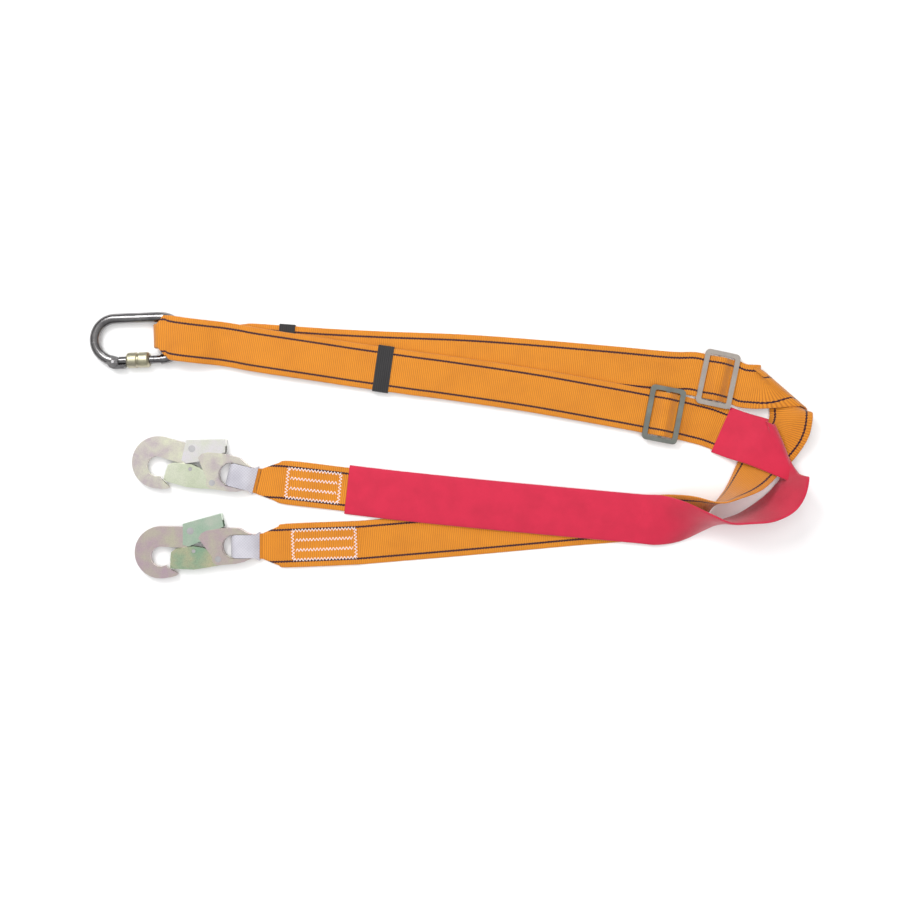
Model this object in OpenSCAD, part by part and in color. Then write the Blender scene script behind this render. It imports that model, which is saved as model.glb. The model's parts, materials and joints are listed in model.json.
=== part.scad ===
// Twin-leg adjustable webbing lanyard with a screw-gate carabiner and two double-action snap hooks.
// Millimetres. The lanyard lies flat on z = 0, +X is its length, the carabiner and hooks are at -X.

/* [Webbing] */
// Width of the webbing
web_w = 48; // [44:1:50]
// Thickness of the webbing
web_t = 1.8; // [1.6:0.1:1.8]
// Width of the protective sleeve
guard_w = 54; // [53:1:56]

/* [Carabiner] */
// Diameter of the bar
rod_d = 11; // [10:0.5:11]
// Length over the outside
carabiner_l = 107; // [104:1:108]
// Width over the outside
carabiner_w = 60.5; // [60:0.5:62]
// Diameter of the screw sleeve
screw_d = 17; // [16:0.5:17.5]

/* [Snap hooks] */
// Thickness of the hook and its eye
hook_t = 12.8; // [12.4:0.2:13]
// Radius of the hook's throat
throat_r = 11; // [10.5:0.25:11.5]

/* [Slides] */
// Length of a slide along the webbing
slide_l = 39; // [38:1:40]
// Width of a slide across the webbing
slide_w = 61; // [60:1:64]
// Thickness of a slide
slide_t = 3; // [2.5:0.25:3]

/* [Hidden] */
// Roundness of the curves
$fn = 48;
// The node that is drawn

// Moves the whole lanyard so that its box is centred on the origin
centre_shift = [-0.57, -1.41, 0.02];

// Layers: gap between stacked layers, and the middle heights of the four stacked layers
gap = 0.3;
pitch = web_t + gap;
z1 = web_t / 2;
z2 = z1 + pitch;
z3 = z2 + pitch;
z4 = z3 + pitch;

// Colours
orange = "#f29a1f";
crimson = "#cc1f45";
zinc = "#c9c6a0";
steel = "#8e8a84";

// ---- Ribbons: each row is [x, y, z, hx, hy, hz], a point of the middle line and half the width ----

// A flat row at (x, y, z) with the webbing heading along angle h, w wide
function flat(x, y, z, h, w = web_w) = [x, y, z, -sin(h) * w / 2, cos(h) * w / 2, 0];

// A row rolled about its heading, its lower edge resting at height z0
function rolled(x, y, z0, h, roll, w = web_w) =
    [x, y, z0 + abs(sin(roll)) * w / 2,
     -sin(h) * cos(roll) * w / 2, cos(h) * cos(roll) * w / 2, sin(roll) * w / 2];

// Rows round a diagonal fold: p is its outermost point, f the fold line's angle, h the heading in,
// lean half the length of the fold line
function fold(p, z0, r, h, f, angles, lean) =
    let (d = [cos(f), sin(f)], n = [-sin(f), cos(f)])
    [for (a = angles)
        let (along = (a - 90) * PI / 180 * r / tan(h - f), q = p + d * along + n * r * (sin(a) - 1))
        [q[0], q[1], z0 + r * (1 + cos(a)), -d[0] * lean, -d[1] * lean, 0]];

// Smooth rows through the given ones, n steps between each two
function spline(a, b, c, d, t) =
    0.5 * (2 * b + (c - a) * t + (2 * a - 5 * b + 4 * c - d) * t * t
           + (3 * b - a - 3 * c + d) * t * t * t);
function smooth(rows, n) =
    let (last = len(rows) - 1)
    [for (i = [0 : last - 1], k = [0 : n - 1])
        spline(rows[max(i - 1, 0)], rows[i], rows[i + 1], rows[min(i + 2, last)], k / n),
     rows[last]];

// The middle and the half-width of a row, and a vector of length 1
function point(row) = [row[0], row[1], row[2]];
function half(row) = [row[3], row[4], row[5]];
function unit(v) = v / norm(v);

// The four corners of a cross-section, w wide as a share of the row's width and t thick
function corners(rows, i, w, t) =
    let (last = len(rows) - 1,
         tangent = point(rows[min(i + 1, last)]) - point(rows[max(i - 1, 0)]),
         up = unit(cross(tangent, half(rows[i]))) * t / 2,
         side = half(rows[i]) * w)
    [for (s = [[1, 1], [-1, 1], [-1, -1], [1, -1]]) point(rows[i]) + side * s[0] + up * s[1]];

// A solid ribbon along the smooth rows numbered from first to last
module ribbon(line, first, last, t = web_t, w = 1) {
    n = last - first + 1;
    points = [for (i = [first : last]) each corners(line, i, w, t)];
    sides = [for (i = [0 : n - 2], k = [0 : 3])
        let (a = 4 * i + k, b = 4 * i + (k + 1) % 4) each [[a, b + 4, b], [a, a + 4, b + 4]]];
    ends = [[0, 1, 2], [0, 2, 3],
            [4 * n - 4, 4 * n - 2, 4 * n - 3], [4 * n - 4, 4 * n - 1, 4 * n - 2]];
    polyhedron(points, concat(sides, ends));
}

// A flattened tube along the same rows, with an outer and an inner wall
module sleeve(line, first, last, t_out, w_out, t_in, w_in) {
    n = last - first + 1;
    rings = [for (i = [first : last]) each
        concat(corners(line, i, w_out, t_out), corners(line, i, w_in, t_in))];
    walls = [for (i = [0 : n - 2], k = [0 : 3])
        let (a = 8 * i + k, b = 8 * i + (k + 1) % 4)
        each [[a, b + 8, b], [a, a + 8, b + 8], [a + 4, b + 4, b + 12], [a + 4, b + 12, a + 12]]];
    far = 8 * (n - 1);
    rims = [for (k = [0 : 3]) let (a = k, b = (k + 1) % 4)
        each [[a, b, b + 4], [a, b + 4, a + 4],
              [far + a, far + b + 4, far + b], [far + a, far + a + 4, far + b + 4]]];
    polyhedron(rings, concat(walls, rims));
}

// ---- Routes of the two legs, from the carabiner to the slides ----

// Centre and heading of each slide, the height of each leg's floor, and the rise over the bar
a_slide = [235, 35];
a_slide_h = -11;
b_slide = [295, 74];
b_slide_h = -12;
a_base = 2 * pitch;
b_base = 0.4;
hump = 8;

// A row beside a slide: s along it from its centre, c the height above the leg's own floor
function at_slide(at, h, base, s, c) = flat(at[0] + s * cos(h), at[1] + s * sin(h), base + c, h);

// The upper run goes under the slide's end bars and over its middle bar
function over_bar(at, h, base) = [
    at_slide(at, h, base, -30, z2),
    at_slide(at, h, base, -16, z2),
    at_slide(at, h, base, -12, z2 + 0.9),
    at_slide(at, h, base, -4, z2 + hump - 1.4),
    at_slide(at, h, base, 0, z2 + hump - 0.6),
    at_slide(at, h, base, 4, z2 + hump - 1.4),
    at_slide(at, h, base, 11, z2 + 1.2),
    at_slide(at, h, base, 14.6, z2),
    at_slide(at, h, base, 17.5, z2)
];

// The return run stops where its sewn end goes round the middle bar
function to_bar(at, h, base) = [
    at_slide(at, h, base, -30, z1),
    at_slide(at, h, base, -15, z1),
    at_slide(at, h, base, -4, z1 + 2.2)
];

a_long_rows = concat([
    flat(-308.6, 120.7, 19, 2, 44), flat(-303, 118.4, 19.4, -2), flat(-288, 116, 20.6, -5),
    flat(-268, 114, 15, -6), flat(-250, 112.4, 8.6, -8), flat(-232, 109.6, 8.4, -10),
    flat(-212, 105.8, 9.7, -10), flat(-146, 95.8, 9.7, -8), flat(-108, 90, 8.3, -8),
    flat(-72, 84.8, 8.3, -8.2), flat(-36, 79.7, 8.3, -8), flat(0, 75, z4, -7.6),
    flat(90, 61.6, z4, -9.5), flat(175, 46.4, z4, -11)
], over_bar(a_slide, a_slide_h, a_base));

a_return_rows = concat([
    flat(-308, 120.7, 1.4, 2, 44), flat(-302, 113, 1.8, -10, 26), flat(-290, 102, 2.6, -14, 14),
    flat(-268, 99, 4.6, -8, 14), flat(-250, 97.6, 5.6, -4, 14), flat(-240, 103, 6.2, 0, 30),
    flat(-228, 108.9, 6.6, -10, 46), flat(-212, 105.8, 7.6, -10), flat(-146, 95.8, 7.6, -8),
    flat(-108, 90, 6.2, -8), flat(-72, 84.8, 6.2, -8.2), flat(-36, 79.7, 6.2, -8),
    flat(0, 75, z3, -7.6), flat(90, 61.6, z3, -9.5), flat(175, 46.4, z3, -11)
], to_bar(a_slide, a_slide_h, a_base));

b_long_rows = concat([
    flat(-308.8, 120.7, 16.9, 2, 26), flat(-296, 122, 17.4, 6, 26), flat(-286, 123.5, 17.2, 4, 26),
    flat(-268, 124, 10, -4, 26), flat(-252, 122.8, 3.7, -8, 26), flat(-238, 115.5, 3.5, -8, 36),
    flat(-226, 111.6, 3.9, -5, 46), flat(-212, 110.8, z2 + 1.3, -4), flat(-146, 106.2, z2 + 1.3, -4),
    flat(-128, 105.2, z2, -3), flat(-72, 102.4, z2, -2.5), flat(34, 98, z2, -3.5),
    flat(170, 87, z2, -6), flat(240, 80.5, z2, -7)
], over_bar(b_slide, b_slide_h, b_base));

b_return_rows = concat([
    flat(-308.4, 120.7, 3.5, 2, 26), flat(-296, 122, 4.2, 6, 26), flat(-286, 123.5, 3.8, 4, 26),
    flat(-268, 124, 1.6, -4, 26), flat(-252, 122.8, 1.2, -8, 26), flat(-238, 115.5, 1.1, -8, 36),
    flat(-226, 111.6, 1.5, -5, 46), flat(-212, 110.8, z1 + 1.3, -4), flat(-146, 106.2, z1 + 1.3, -4),
    flat(-128, 105.2, z1, -3), flat(-72, 102.4, z1, -2.5), flat(34, 98, z1, -3.5),
    flat(170, 87, z1, -6), flat(240, 80.5, z1, -7)
], to_bar(b_slide, b_slide_h, b_base));

// ---- Routes of the two legs, from the slides to the hooks ----

// Leg B folds over its end, stands on edge round the bend, and lies down again
b_route = concat([
    at_slide(b_slide, b_slide_h, b_base, 17.7, z2), at_slide(b_slide, b_slide_h, b_base, 21, z2),
    flat(323, 66.5, 5.5, -12), flat(340, 65, 9.5, -3)
], fold([368, 61.5], 1.4, 6, 0, -41, [0, 45, 90, 135], 31), [
    rolled(373, 36, 2, -92, -150), rolled(370, 18, 2, -108, -158),
    rolled(361, 3, 2, -126, -172), rolled(345, -13, 2, -133, -168), rolled(327, -33, 2, -140, -135),
    rolled(308, -50, 2.6, -146, -105), rolled(290, -62, 2.6, -152, -85), rolled(268, -70, 2.4, -163, -45),
    rolled(244, -75.5, 1.6, -170, -12), flat(222, -78, 1.8, -173), flat(190, -81, 1.2, -174),
    flat(138, -85, z1, -175), flat(84, -90, z1, -175), flat(12, -96.5, z1, -175),
    flat(-84, -104.6, z1 + 0.15, -175), flat(-98, -105.6, z1 + 1.2, -176), flat(-110, -106.2, z2, -177),
    flat(-178, -108.9, z2, -178), flat(-188, -109.3, z2, -179, 42), flat(-204.7, -109.5, z2, 180, 28)
]);

// Leg A does the same inside its protective sleeve, over leg B
a_route = concat([
    at_slide(a_slide, a_slide_h, a_base, 17.7, z2), at_slide(a_slide, a_slide_h, a_base, 21, z2 - 0.4),
    flat(268, 28.2, 2.6, -14), flat(284, 24, 2.3, -18), flat(299, 18.5, 2.4, -24), flat(317, 11.5, 8.5, -23),
    flat(337, 4.8, 17, -22)
], fold([369.4, -13.6], 6, 7.5, -22, -67.4, [0, 45, 90], 32), [
    rolled(373, -31, 4.6, -97, -108, 50), rolled(368, -48, 4.6, -113, -114, 50),
    rolled(358, -61, 4.6, -134, -116, 50), rolled(341, -71, 4.6, -155, -110, 50),
    rolled(319, -78, 4.6, -166, -98, 50), rolled(299, -81.5, 4.6, -175, -90, 50),
    rolled(278, -82.4, 4.6, 180, -68, 50), rolled(254, -82, 4.4, 179, -38, 50),
    rolled(230, -80.6, 5.4, 177, -12, 50), flat(205, -79, 5.2, 176),
    flat(122, -71.4, 4.6, 174.5), flat(32, -63, 4.4, 174), flat(-50, -54.6, 4.4, 173.6),
    flat(-76, -51.6, 4.2, 173.4), flat(-95, -49.4, 2.9, 173.4), flat(-112, -47.3, z2, 173.4), flat(-130, -45.2, z2, 173.6),
    flat(-178, -39.6, z2, 174), flat(-192, -38.6, z2, 172, 40), flat(-209, -38.1, z2, 166, 28)
]);

// Smooth lines of each leg and the row numbers where its nodes begin and end
steps = 3;
a_long = smooth(a_long_rows, steps);
a_return = smooth(a_return_rows, steps);
b_long = smooth(b_long_rows, steps);
b_return = smooth(b_return_rows, steps);
a_line = smooth(a_route, steps);
b_line = smooth(b_route, steps);
a_end = len(a_line) - 1;
b_end = len(b_line) - 1;
a_flat = 20 * steps;
b_flat = 19 * steps;
guard_first = 4 * steps;
guard_last = a_end - 4 * steps;

// Puts everything at its place round the origin
module placed() { translate(centre_shift) children(); }

module webbing_a_long_run() { color(orange) placed() ribbon(a_long, 0, len(a_long) - 1); }
module webbing_a_return_run() { color(orange) placed() ribbon(a_return, 0, len(a_return) - 1); }
module webbing_b_long_run() { color(orange) placed() ribbon(b_long, 0, len(b_long) - 1); }
module webbing_b_return_run() { color(orange) placed() ribbon(b_return, 0, len(b_return) - 1); }
module webbing_a_turn() { color(orange) placed() ribbon(a_line, 0, a_flat); }
module webbing_a_hook_run() { color(orange) placed() ribbon(a_line, a_flat, a_end); }
module webbing_b_turn() { color(orange) placed() ribbon(b_line, 0, b_flat); }
module webbing_b_hook_run() { color(orange) placed() ribbon(b_line, b_flat, b_end); }

// The short end sewn under each leg beside its hook
a_lap_rows = [flat(-209, -38.1, z1, 166, 28), flat(-192, -38.6, z1, 172, 40),
              flat(-178, -39.6, z1, 174), flat(-120, -46.4, z1, 173.6)];
b_lap_rows = [flat(-204.7, -109.5, z1, 180, 28), flat(-188, -109.3, z1, -179, 42),
              flat(-178, -108.9, z1, -178), flat(-104, -105.9, z1, -177)];
module webbing_a_lap() { color(orange) placed() ribbon(smooth(a_lap_rows, 2), 0, 6); }
module webbing_b_lap() { color(orange) placed() ribbon(smooth(b_lap_rows, 2), 0, 6); }

// ---- Protective sleeve ----

// Wall of the cloth and the room between it and the webbing
guard_wall = 0.8;
guard_gap = 0.5;
guard_t = web_t + 2 * guard_gap + 2 * guard_wall;
guard_in_t = web_t + 2 * guard_gap;
guard_ratio = guard_w / web_w;
guard_in_ratio = (guard_w - 2 * guard_wall) / web_w;
module protective_sleeve_turn() {
    color(crimson) placed()
        sleeve(a_line, guard_first, a_flat, guard_t, guard_ratio, guard_in_t, guard_in_ratio);
}
module protective_sleeve_run() {
    color(crimson) placed()
        sleeve(a_line, a_flat, guard_last, guard_t, guard_ratio, guard_in_t, guard_in_ratio);
}

// ---- Carabiner: x along its length, y towards its plain side, middle of the bar at z = 0 ----

bar_r = rod_d / 2;
bend_r = (carabiner_w - rod_d + 4) / 2 - 3.65;
bend_x = (carabiner_l - rod_d) / 2 - bend_r;
bend_y = 1.65;
gate_y = bend_y - bend_r;
hinge_x = -28;
hinge_y = gate_y - 1;
gate_tip = 17;
gate_r = 4.4;
tongue_t = 5;
carabiner_at = [-340, 116, 9.1];
carabiner_tilt = 2.1;
carabiner_yaw = 2;

// Puts its children at the carabiner's place
module on_carabiner() {
    placed() translate(carabiner_at) rotate([0, 0, carabiner_yaw]) rotate([0, -carabiner_tilt, 0])
        children();
}

// A round bar bent through sweep degrees
module bar_arc(from, sweep) {
    rotate([0, 0, from]) rotate_extrude(angle = sweep) translate([bend_r, 0]) circle(bar_r);
}

// The oval bar with its hinge end
module carabiner_body() {
    color(steel) on_carabiner() difference() {
        union() {
            translate([-bend_x, bend_y, 0]) bar_arc(90, 168);
            translate([bend_x, bend_y, 0]) bar_arc(-90, 180);
            translate([-bend_x, bend_y + bend_r, 0]) rotate([0, 90, 0]) cylinder(r = bar_r, h = 2 * bend_x);
            translate([gate_tip + 0.4, gate_y, 0]) rotate([0, 90, 0])
                cylinder(r = gate_r, h = bend_x - gate_tip - 0.4);
            // Hinge block and the shelf that stops the gate from opening outwards
            translate([hinge_x, hinge_y, 0]) cylinder(r = 6.4, h = 10, center = true);
            translate([0, 0, -4]) linear_extrude(8)
                polygon([[hinge_x - 6, hinge_y], [hinge_x - 4, hinge_y - 6], [hinge_x, hinge_y - 7.8],
                         [hinge_x + 11, hinge_y - 7.8], [hinge_x + 13.5, hinge_y - 5.8],
                         [hinge_x + 13, gate_y - gate_r - 0.3], [hinge_x, gate_y - gate_r - 0.3]]);
        }
        // Slot for the gate's tongue
        translate([hinge_x - 0.2, hinge_y, 0]) cylinder(r = 6.9, h = tongue_t + 0.6, center = true);
        translate([hinge_x, hinge_y - 4.6, -tongue_t / 2 - 0.3]) cube([14, 24, tongue_t + 0.6]);
        translate([hinge_x + 5.6, gate_y - gate_r - 0.2, -8]) cube([14, 24, 16]);
        translate([hinge_x, hinge_y, 0]) cylinder(r = 1.6, h = 14, center = true);
    }
}

// The gate: a round bar with a hinge tongue and a bore for the spring
module carabiner_gate() {
    color(steel) on_carabiner() difference() {
        union() {
            translate([hinge_x + 6.5, gate_y, 0]) rotate([0, 90, 0])
                cylinder(r = gate_r, h = gate_tip - hinge_x - 6.5);
            translate([hinge_x, hinge_y, 0]) cylinder(r = 4.4, h = tongue_t, center = true);
            translate([hinge_x, gate_y - 3.4, -tongue_t / 2]) cube([9, 6.8, tongue_t]);
        }
        translate([hinge_x, hinge_y, 0]) cylinder(r = 1.7, h = 8, center = true);
        translate([hinge_x + 8, gate_y, 0]) rotate([0, 90, 0]) cylinder(r = 2.3, h = 18);
    }
}

module gate_pin() {
    color("silver") on_carabiner() translate([hinge_x, hinge_y, 0])
        cylinder(r = 1.6, h = 10.4, center = true);
}

module gate_plunger() {
    color("silver") on_carabiner() translate([hinge_x + 8.2, gate_y, 0]) rotate([0, 90, 0])
        cylinder(r = 2, h = 6);
}

module gate_spring() {
    color("silver") on_carabiner() translate([hinge_x + 14.4, gate_y, 0]) rotate([0, 90, 0])
        difference() {
            cylinder(r = 2, h = 11);
            translate([0, 0, -1]) cylinder(r = 1.3, h = 13);
        }
}

// The screw sleeve, grooved round its middle
module screw_sleeve() {
    length = 25;
    r = screw_d / 2;
    bore = gate_r + 0.3;
    color("#b3ac82") on_carabiner() translate([-12.9, gate_y, 0]) rotate([0, 90, 0]) rotate_extrude()
        polygon([[bore, 0], [r - 1.6, 0], [r, 1.8], [r, length / 2 - 1.4], [r - 1, length / 2 - 0.6],
                 [r - 1, length / 2 + 0.6], [r, length / 2 + 1.4], [r, length - 1.8],
                 [r - 1.6, length], [bore, length]]);
}

// ---- Webbing bights round the carabiner's end ----

// Middle of the turn and where it joins the runs
bight_x = 27.1;
bight_end = 30;
inner_r = bar_r + gap;
module bight(r_in, w) {
    on_carabiner() translate([0, 3.65, 0]) intersection() {
        rotate([90, 0, 0]) translate([0, 0, -30]) linear_extrude(60) difference() {
            union() {
                translate([bight_x, 0]) circle(r_in + web_t);
                translate([bight_x, -r_in - web_t]) square([bight_end - bight_x, 2 * (r_in + web_t)]);
            }
            translate([bight_x, 0]) circle(r_in);
            translate([bight_x, -r_in]) square([bight_end, 2 * r_in]);
        }
        translate([0, 0, -20]) linear_extrude(40)
            polygon([[15, -13], [23, -13], [bight_end + 1, -w / 2], [bight_end + 1, w / 2], [23, 13], [15, 13]]);
    }
}
module webbing_a_bight() { color(orange) bight(inner_r + pitch, web_w - 4); }
module webbing_b_bight() { color(orange) bight(inner_r, 26); }

// ---- Slides ----

// Puts its children at a slide's place
module on_slide(at, h, base) {
    placed() translate([at[0], at[1], base + web_t + pitch + gap + slide_t / 2]) rotate([0, 0, h]) children();
}

// A rectangle with corners of radius r
module rounded(l, w, r) {
    for (x = [-1, 1], y = [-1, 1]) translate([x * (l / 2 - r), y * (w / 2 - r)]) circle(r);
    square([l - 2 * r, w], center = true);
    square([l, w - 2 * r], center = true);
}

// Width of the middle bar
middle_bar = 4;
module slide(at, h, base) {
    on_slide(at, h, base) {
        translate([0, 0, -slide_t / 2]) linear_extrude(slide_t) difference() {
            rounded(slide_l, slide_w, 5);
            rounded(slide_l - 11, slide_w - 10, 2.5);
        }
        cube([middle_bar, slide_w - 6, slide_t - 0.4], center = true);
    }
}
module slide_a() { color("#7f8276") slide(a_slide, a_slide_h, a_base); }
module slide_b() { color("#b8aea2") slide(b_slide, b_slide_h, b_base); }

// The sewn end of the return run, round the slide's middle bar
module bar_loop(at, h, base) {
    in_x = middle_bar / 2 + 0.1;
    in_z = slide_t / 2 + 0.1;
    color(orange) on_slide(at, h, base) rotate([90, 0, 0]) translate([0, 0, -web_w / 2]) linear_extrude(web_w)
        difference() {
            rounded(2 * (in_x + web_t), 2 * (in_z + web_t), 2.6);
            square([2 * in_x, 2 * in_z], center = true);
        }
}
module webbing_a_bar_loop() { bar_loop(a_slide, a_slide_h, a_base); }
module webbing_b_bar_loop() { bar_loop(b_slide, b_slide_h, b_base); }

// ---- Keepers ----

// Length and wall of the elastic band
keeper_l = 17.5;
keeper_wall = 0.8;
module keeper(x, y, h, low) {
    inside = 2 * web_t + gap + 2 * gap;
    color("#1b1b1d") placed() translate([x, y, low]) rotate([0, 0, h]) difference() {
        translate([-keeper_l / 2, -web_w / 2 - 1.6, 0])
            cube([keeper_l, web_w + 3.2, inside + 2 * keeper_wall]);
        translate([-keeper_l, -web_w / 2 - 0.8, keeper_wall]) cube([2 * keeper_l, web_w + 1.6, inside]);
    }
}
module keeper_a() { keeper(-72, 84.8, -8.2, 6.2 - z1 - gap - keeper_wall); }
module keeper_b() { keeper(-179, 108.5, -4, 1.3 - gap - keeper_wall); }

// ---- Hook ends: x towards the leg, middle of the eye's bar at the origin ----

// Height of the middle plane, radius of the bar in the eye, and the place of each hook
hook_z = 6.6;
eye_bar_r = 3.7;
a_hook = [-225, -34.1];
a_hook_h = -14;
b_hook = [-220.7, -109.5];
b_hook_h = 0;
module on_hook(at, h) { placed() translate([at[0], at[1], hook_z]) rotate([0, 0, h]) children(); }

// Middle of the webbing's turn round the eye's bar
loop_x = -11.5;
module side_profile() { rotate([90, 0, 0]) translate([0, 0, -20]) linear_extrude(40) children(); }
module plan(points) { translate([0, 0, -10]) linear_extrude(20) polygon(points); }

// The webbing round the eye's bar
module eye_loop(at, h) {
    color(orange) on_hook(at, h) intersection() {
        side_profile() difference() {
            union() {
                translate([loop_x, 0]) circle(5.9);
                polygon([[loop_x, 5.9], [3, 5.9], [16, -2.7], [16, -6.6], [13.4, -5.9], [loop_x, -5.9]]);
            }
            translate([loop_x, 0]) circle(4.1);
            polygon([[loop_x, 4.1], [2.4, 4.1], [16.1, -4.5], [16.1, -4.8], [13.4, -4.1], [loop_x, -4.1]]);
        }
        plan([[-20, -12], [4, -12], [16, -14], [17, -14], [17, 14], [16, 14], [4, 12], [-20, 12]]);
    }
}
module webbing_a_eye_loop() { eye_loop(a_hook, a_hook_h); }
module webbing_b_eye_loop() { eye_loop(b_hook, b_hook_h); }

// The woven tube over that turn
module wear_sleeve(at, h) {
    color("#dcd8ea") on_hook(at, h) intersection() {
        side_profile() difference() {
            union() {
                translate([loop_x, 0]) circle(6.5);
                polygon([[loop_x, 6.5], [3.2, 6.5], [13, 0.1], [13, -6.5], [loop_x, -6.5]]);
            }
            translate([loop_x, 0]) circle(6);
            polygon([[loop_x, 6], [3.05, 6], [13.1, -0.62], [13.1, -6], [loop_x, -6]]);
        }
        plan([[-19, -11], [-13, -12.7], [8.5, -12.7], [13, -16], [14, -16], [14, 16], [13, 16], [8.5, 12.7],
              [-13, 12.7], [-19, 11]]);
    }
}
module wear_sleeve_a() { wear_sleeve(a_hook, a_hook_h); }
module wear_sleeve_b() { wear_sleeve(b_hook, b_hook_h); }

// Box of stitching: a border and two rows inside it
module box_stitch(x, y, h, l) {
    thread = 2;
    color("#f2dfe4") placed() translate([x, y, z2 + web_t / 2 + 0.1]) rotate([0, 0, h]) linear_extrude(0.25) {
        difference() {
            square([l, 34], center = true);
            square([l - 2 * thread, 34 - 2 * thread], center = true);
        }
        for (row = [-5.5, 5.5]) translate([0, row]) square([l - 8, thread], center = true);
    }
}
module box_stitch_a() { box_stitch(-149, -43, -6.2, 60); }
module box_stitch_b() { box_stitch(-137, -107.2, 2.2, 71); }

// ---- Snap hooks ----

// Thickness of the middle, then the inner and outer heights of the gate's and lever's sheets
plate_t = 7.6;
gate_in = 3.95;
gate_out = 4.85;
lever_in = 4.95;
lever_out = 5.65;
cheek_in = 5.75;
// Centres of the rivets, the guide pin, the bend and the throat
gate_rivet = [-31.4, -13.7];
lever_rivet = [-61.9, 17.2];
guide = [-58.4, -4.9];
bend_at = [-94.5, -6.3];
throat_at = [-95, -11];

// A plate of thickness t centred on the hook's middle plane
module plate(t) { translate([0, 0, -t / 2]) linear_extrude(t) children(); }

// Two equal sheets between the heights low and high on both sides of the middle plane
module pair(low, high) {
    for (side = [0, 1]) mirror([0, 0, side]) translate([0, 0, low]) linear_extrude(high - low) children();
}

// Outline of the eye end
module eye_outline() {
    polygon([[-53, 9.3], [-50, 14.5], [-44, 17.6], [-26.5, 20.4], [-8.8, 20.1], [-1, 15.6], [4.2, 13.2],
             [4.2, -13.2], [-3, -16.5], [-12, -18.6], [-31.4, -20.2]]);
    translate(gate_rivet) circle(6.5);
}

// The opening the webbing passes through
module eye_hole() {
    translate([-14, 0]) circle(13.2);
    translate([-14, -13.2]) square([20, 26.4]);
}

// The hooked front, its arm and the thin middle that the gate and lever straddle
module hook_outline() {
    difference() {
        union() {
            translate(bend_at) circle(28.5);
            polygon([[-94.5, 22.2], [-48, 21.2], [-26.5, 20.4], [-26, -18], [-37.9, -13.7], [-40, -6], [-49, 4],
                     [-49, 7.5], [-64, 7.5], [-66, -1.5], [-94.5, -1.5]]);
            polygon([[-96, -34.75], [-84, -33.6], [-77.6, -31.8], [-76, -30.2], [-77.4, -28.4],
                     [-88.4, -22.6], [-96, -18]]);
            translate(gate_rivet) circle(6.5);
        }
        translate(throat_at) circle(throat_r);
        polygon([[-94, 0], [-66, -1.5], [-64, 7.5], [-49, 7.5], [-49, 3], [-50, -40], [-70, -40],
                 [-77, -28.7], [-88.4, -22.4], [-94, -14]]);
    }
}

// The hook: thin middle, thick eye, and the bar across the eye
module hook_body(at, h) {
    color("#b5a4ab") on_hook(at, h) {
        difference() {
            union() {
                plate(plate_t) {
                    hook_outline();
                    eye_outline();
                }
                plate(hook_t) difference() {
                    eye_outline();
                    translate(lever_rivet) circle(38.3);
                    translate(gate_rivet) circle(14.6);
                }
                pair(cheek_in, hook_t / 2) eye_outline();
            }
            translate([0, 0, -10]) linear_extrude(20) eye_hole();
            for (rivet = [gate_rivet, lever_rivet]) translate([rivet[0], rivet[1], 0])
                cylinder(r = 2.6, h = 20, center = true);
        }
        rotate([90, 0, 0]) cylinder(r = eye_bar_r, h = 27.4, center = true);
    }
}

// The gate: two side sheets, a bottom web and a short front web
module hook_gate(at, h) {
    color("#8fa286") on_hook(at, h) difference() {
        union() {
            pair(gate_in, gate_out) {
                polygon([[-84, -14], [-83, -6], [-78, -2.4], [-66, -0.5], [-58, 0.5], [-46, -2], [-31.4, -7.4],
                         [-25, -13], [-27, -20], [-57.9, -25], [-79, -24], [-83, -21.6]]);
                translate(gate_rivet) circle(6.3);
            }
            plate(2 * gate_out) polygon([[-84, -17.4], [-83, -17.4], [-83, -22.6], [-79, -23], [-57.9, -23.6],
                [-40, -21.4], [-40, -22.4], [-57.9, -25], [-79, -24.2], [-84, -23.6]]);
        }
        translate([gate_rivet[0], gate_rivet[1], 0]) cylinder(r = 2.7, h = 20, center = true);
        translate([guide[0], guide[1], 0]) cylinder(r = 2.1, h = 20, center = true);
    }
}

// The thumb lever: two side sheets, a top web and a short rear web
module hook_lever(at, h) {
    color("#93aa86") on_hook(at, h) difference() {
        union() {
            pair(lever_in, lever_out) polygon([[-70, 25], [-28.6, 36.3], [-25.6, 22], [-40, 14.5], [-50, 6],
                [-64, 0], [-70, 2]]);
            plate(2 * lever_out) polygon([[-70, 25], [-28.6, 36.3], [-27, 29], [-28, 28.8], [-29.4, 35],
                [-69.8, 24]]);
        }
        translate([lever_rivet[0], lever_rivet[1], 0]) cylinder(r = 2.7, h = 20, center = true);
    }
}

// A pin with a thin head at each end
module hook_pin(at, h, where, r, head_r, length) {
    color("#c3c0c8") on_hook(at, h) translate([where[0], where[1], 0]) {
        cylinder(r = r, h = length, center = true);
        for (side = [0, 1]) mirror([0, 0, side]) translate([0, 0, length / 2]) cylinder(r = head_r, h = 0.2);
    }
}

// A coil spring as a plain tube
module hook_spring(at, h, where, length) {
    color("silver") on_hook(at, h) translate([where[0], where[1], 0]) rotate([-90, 0, 0]) difference() {
        cylinder(r = 2.6, h = length);
        translate([0, 0, -1]) cylinder(r = 1.7, h = length + 2);
    }
}

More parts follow.
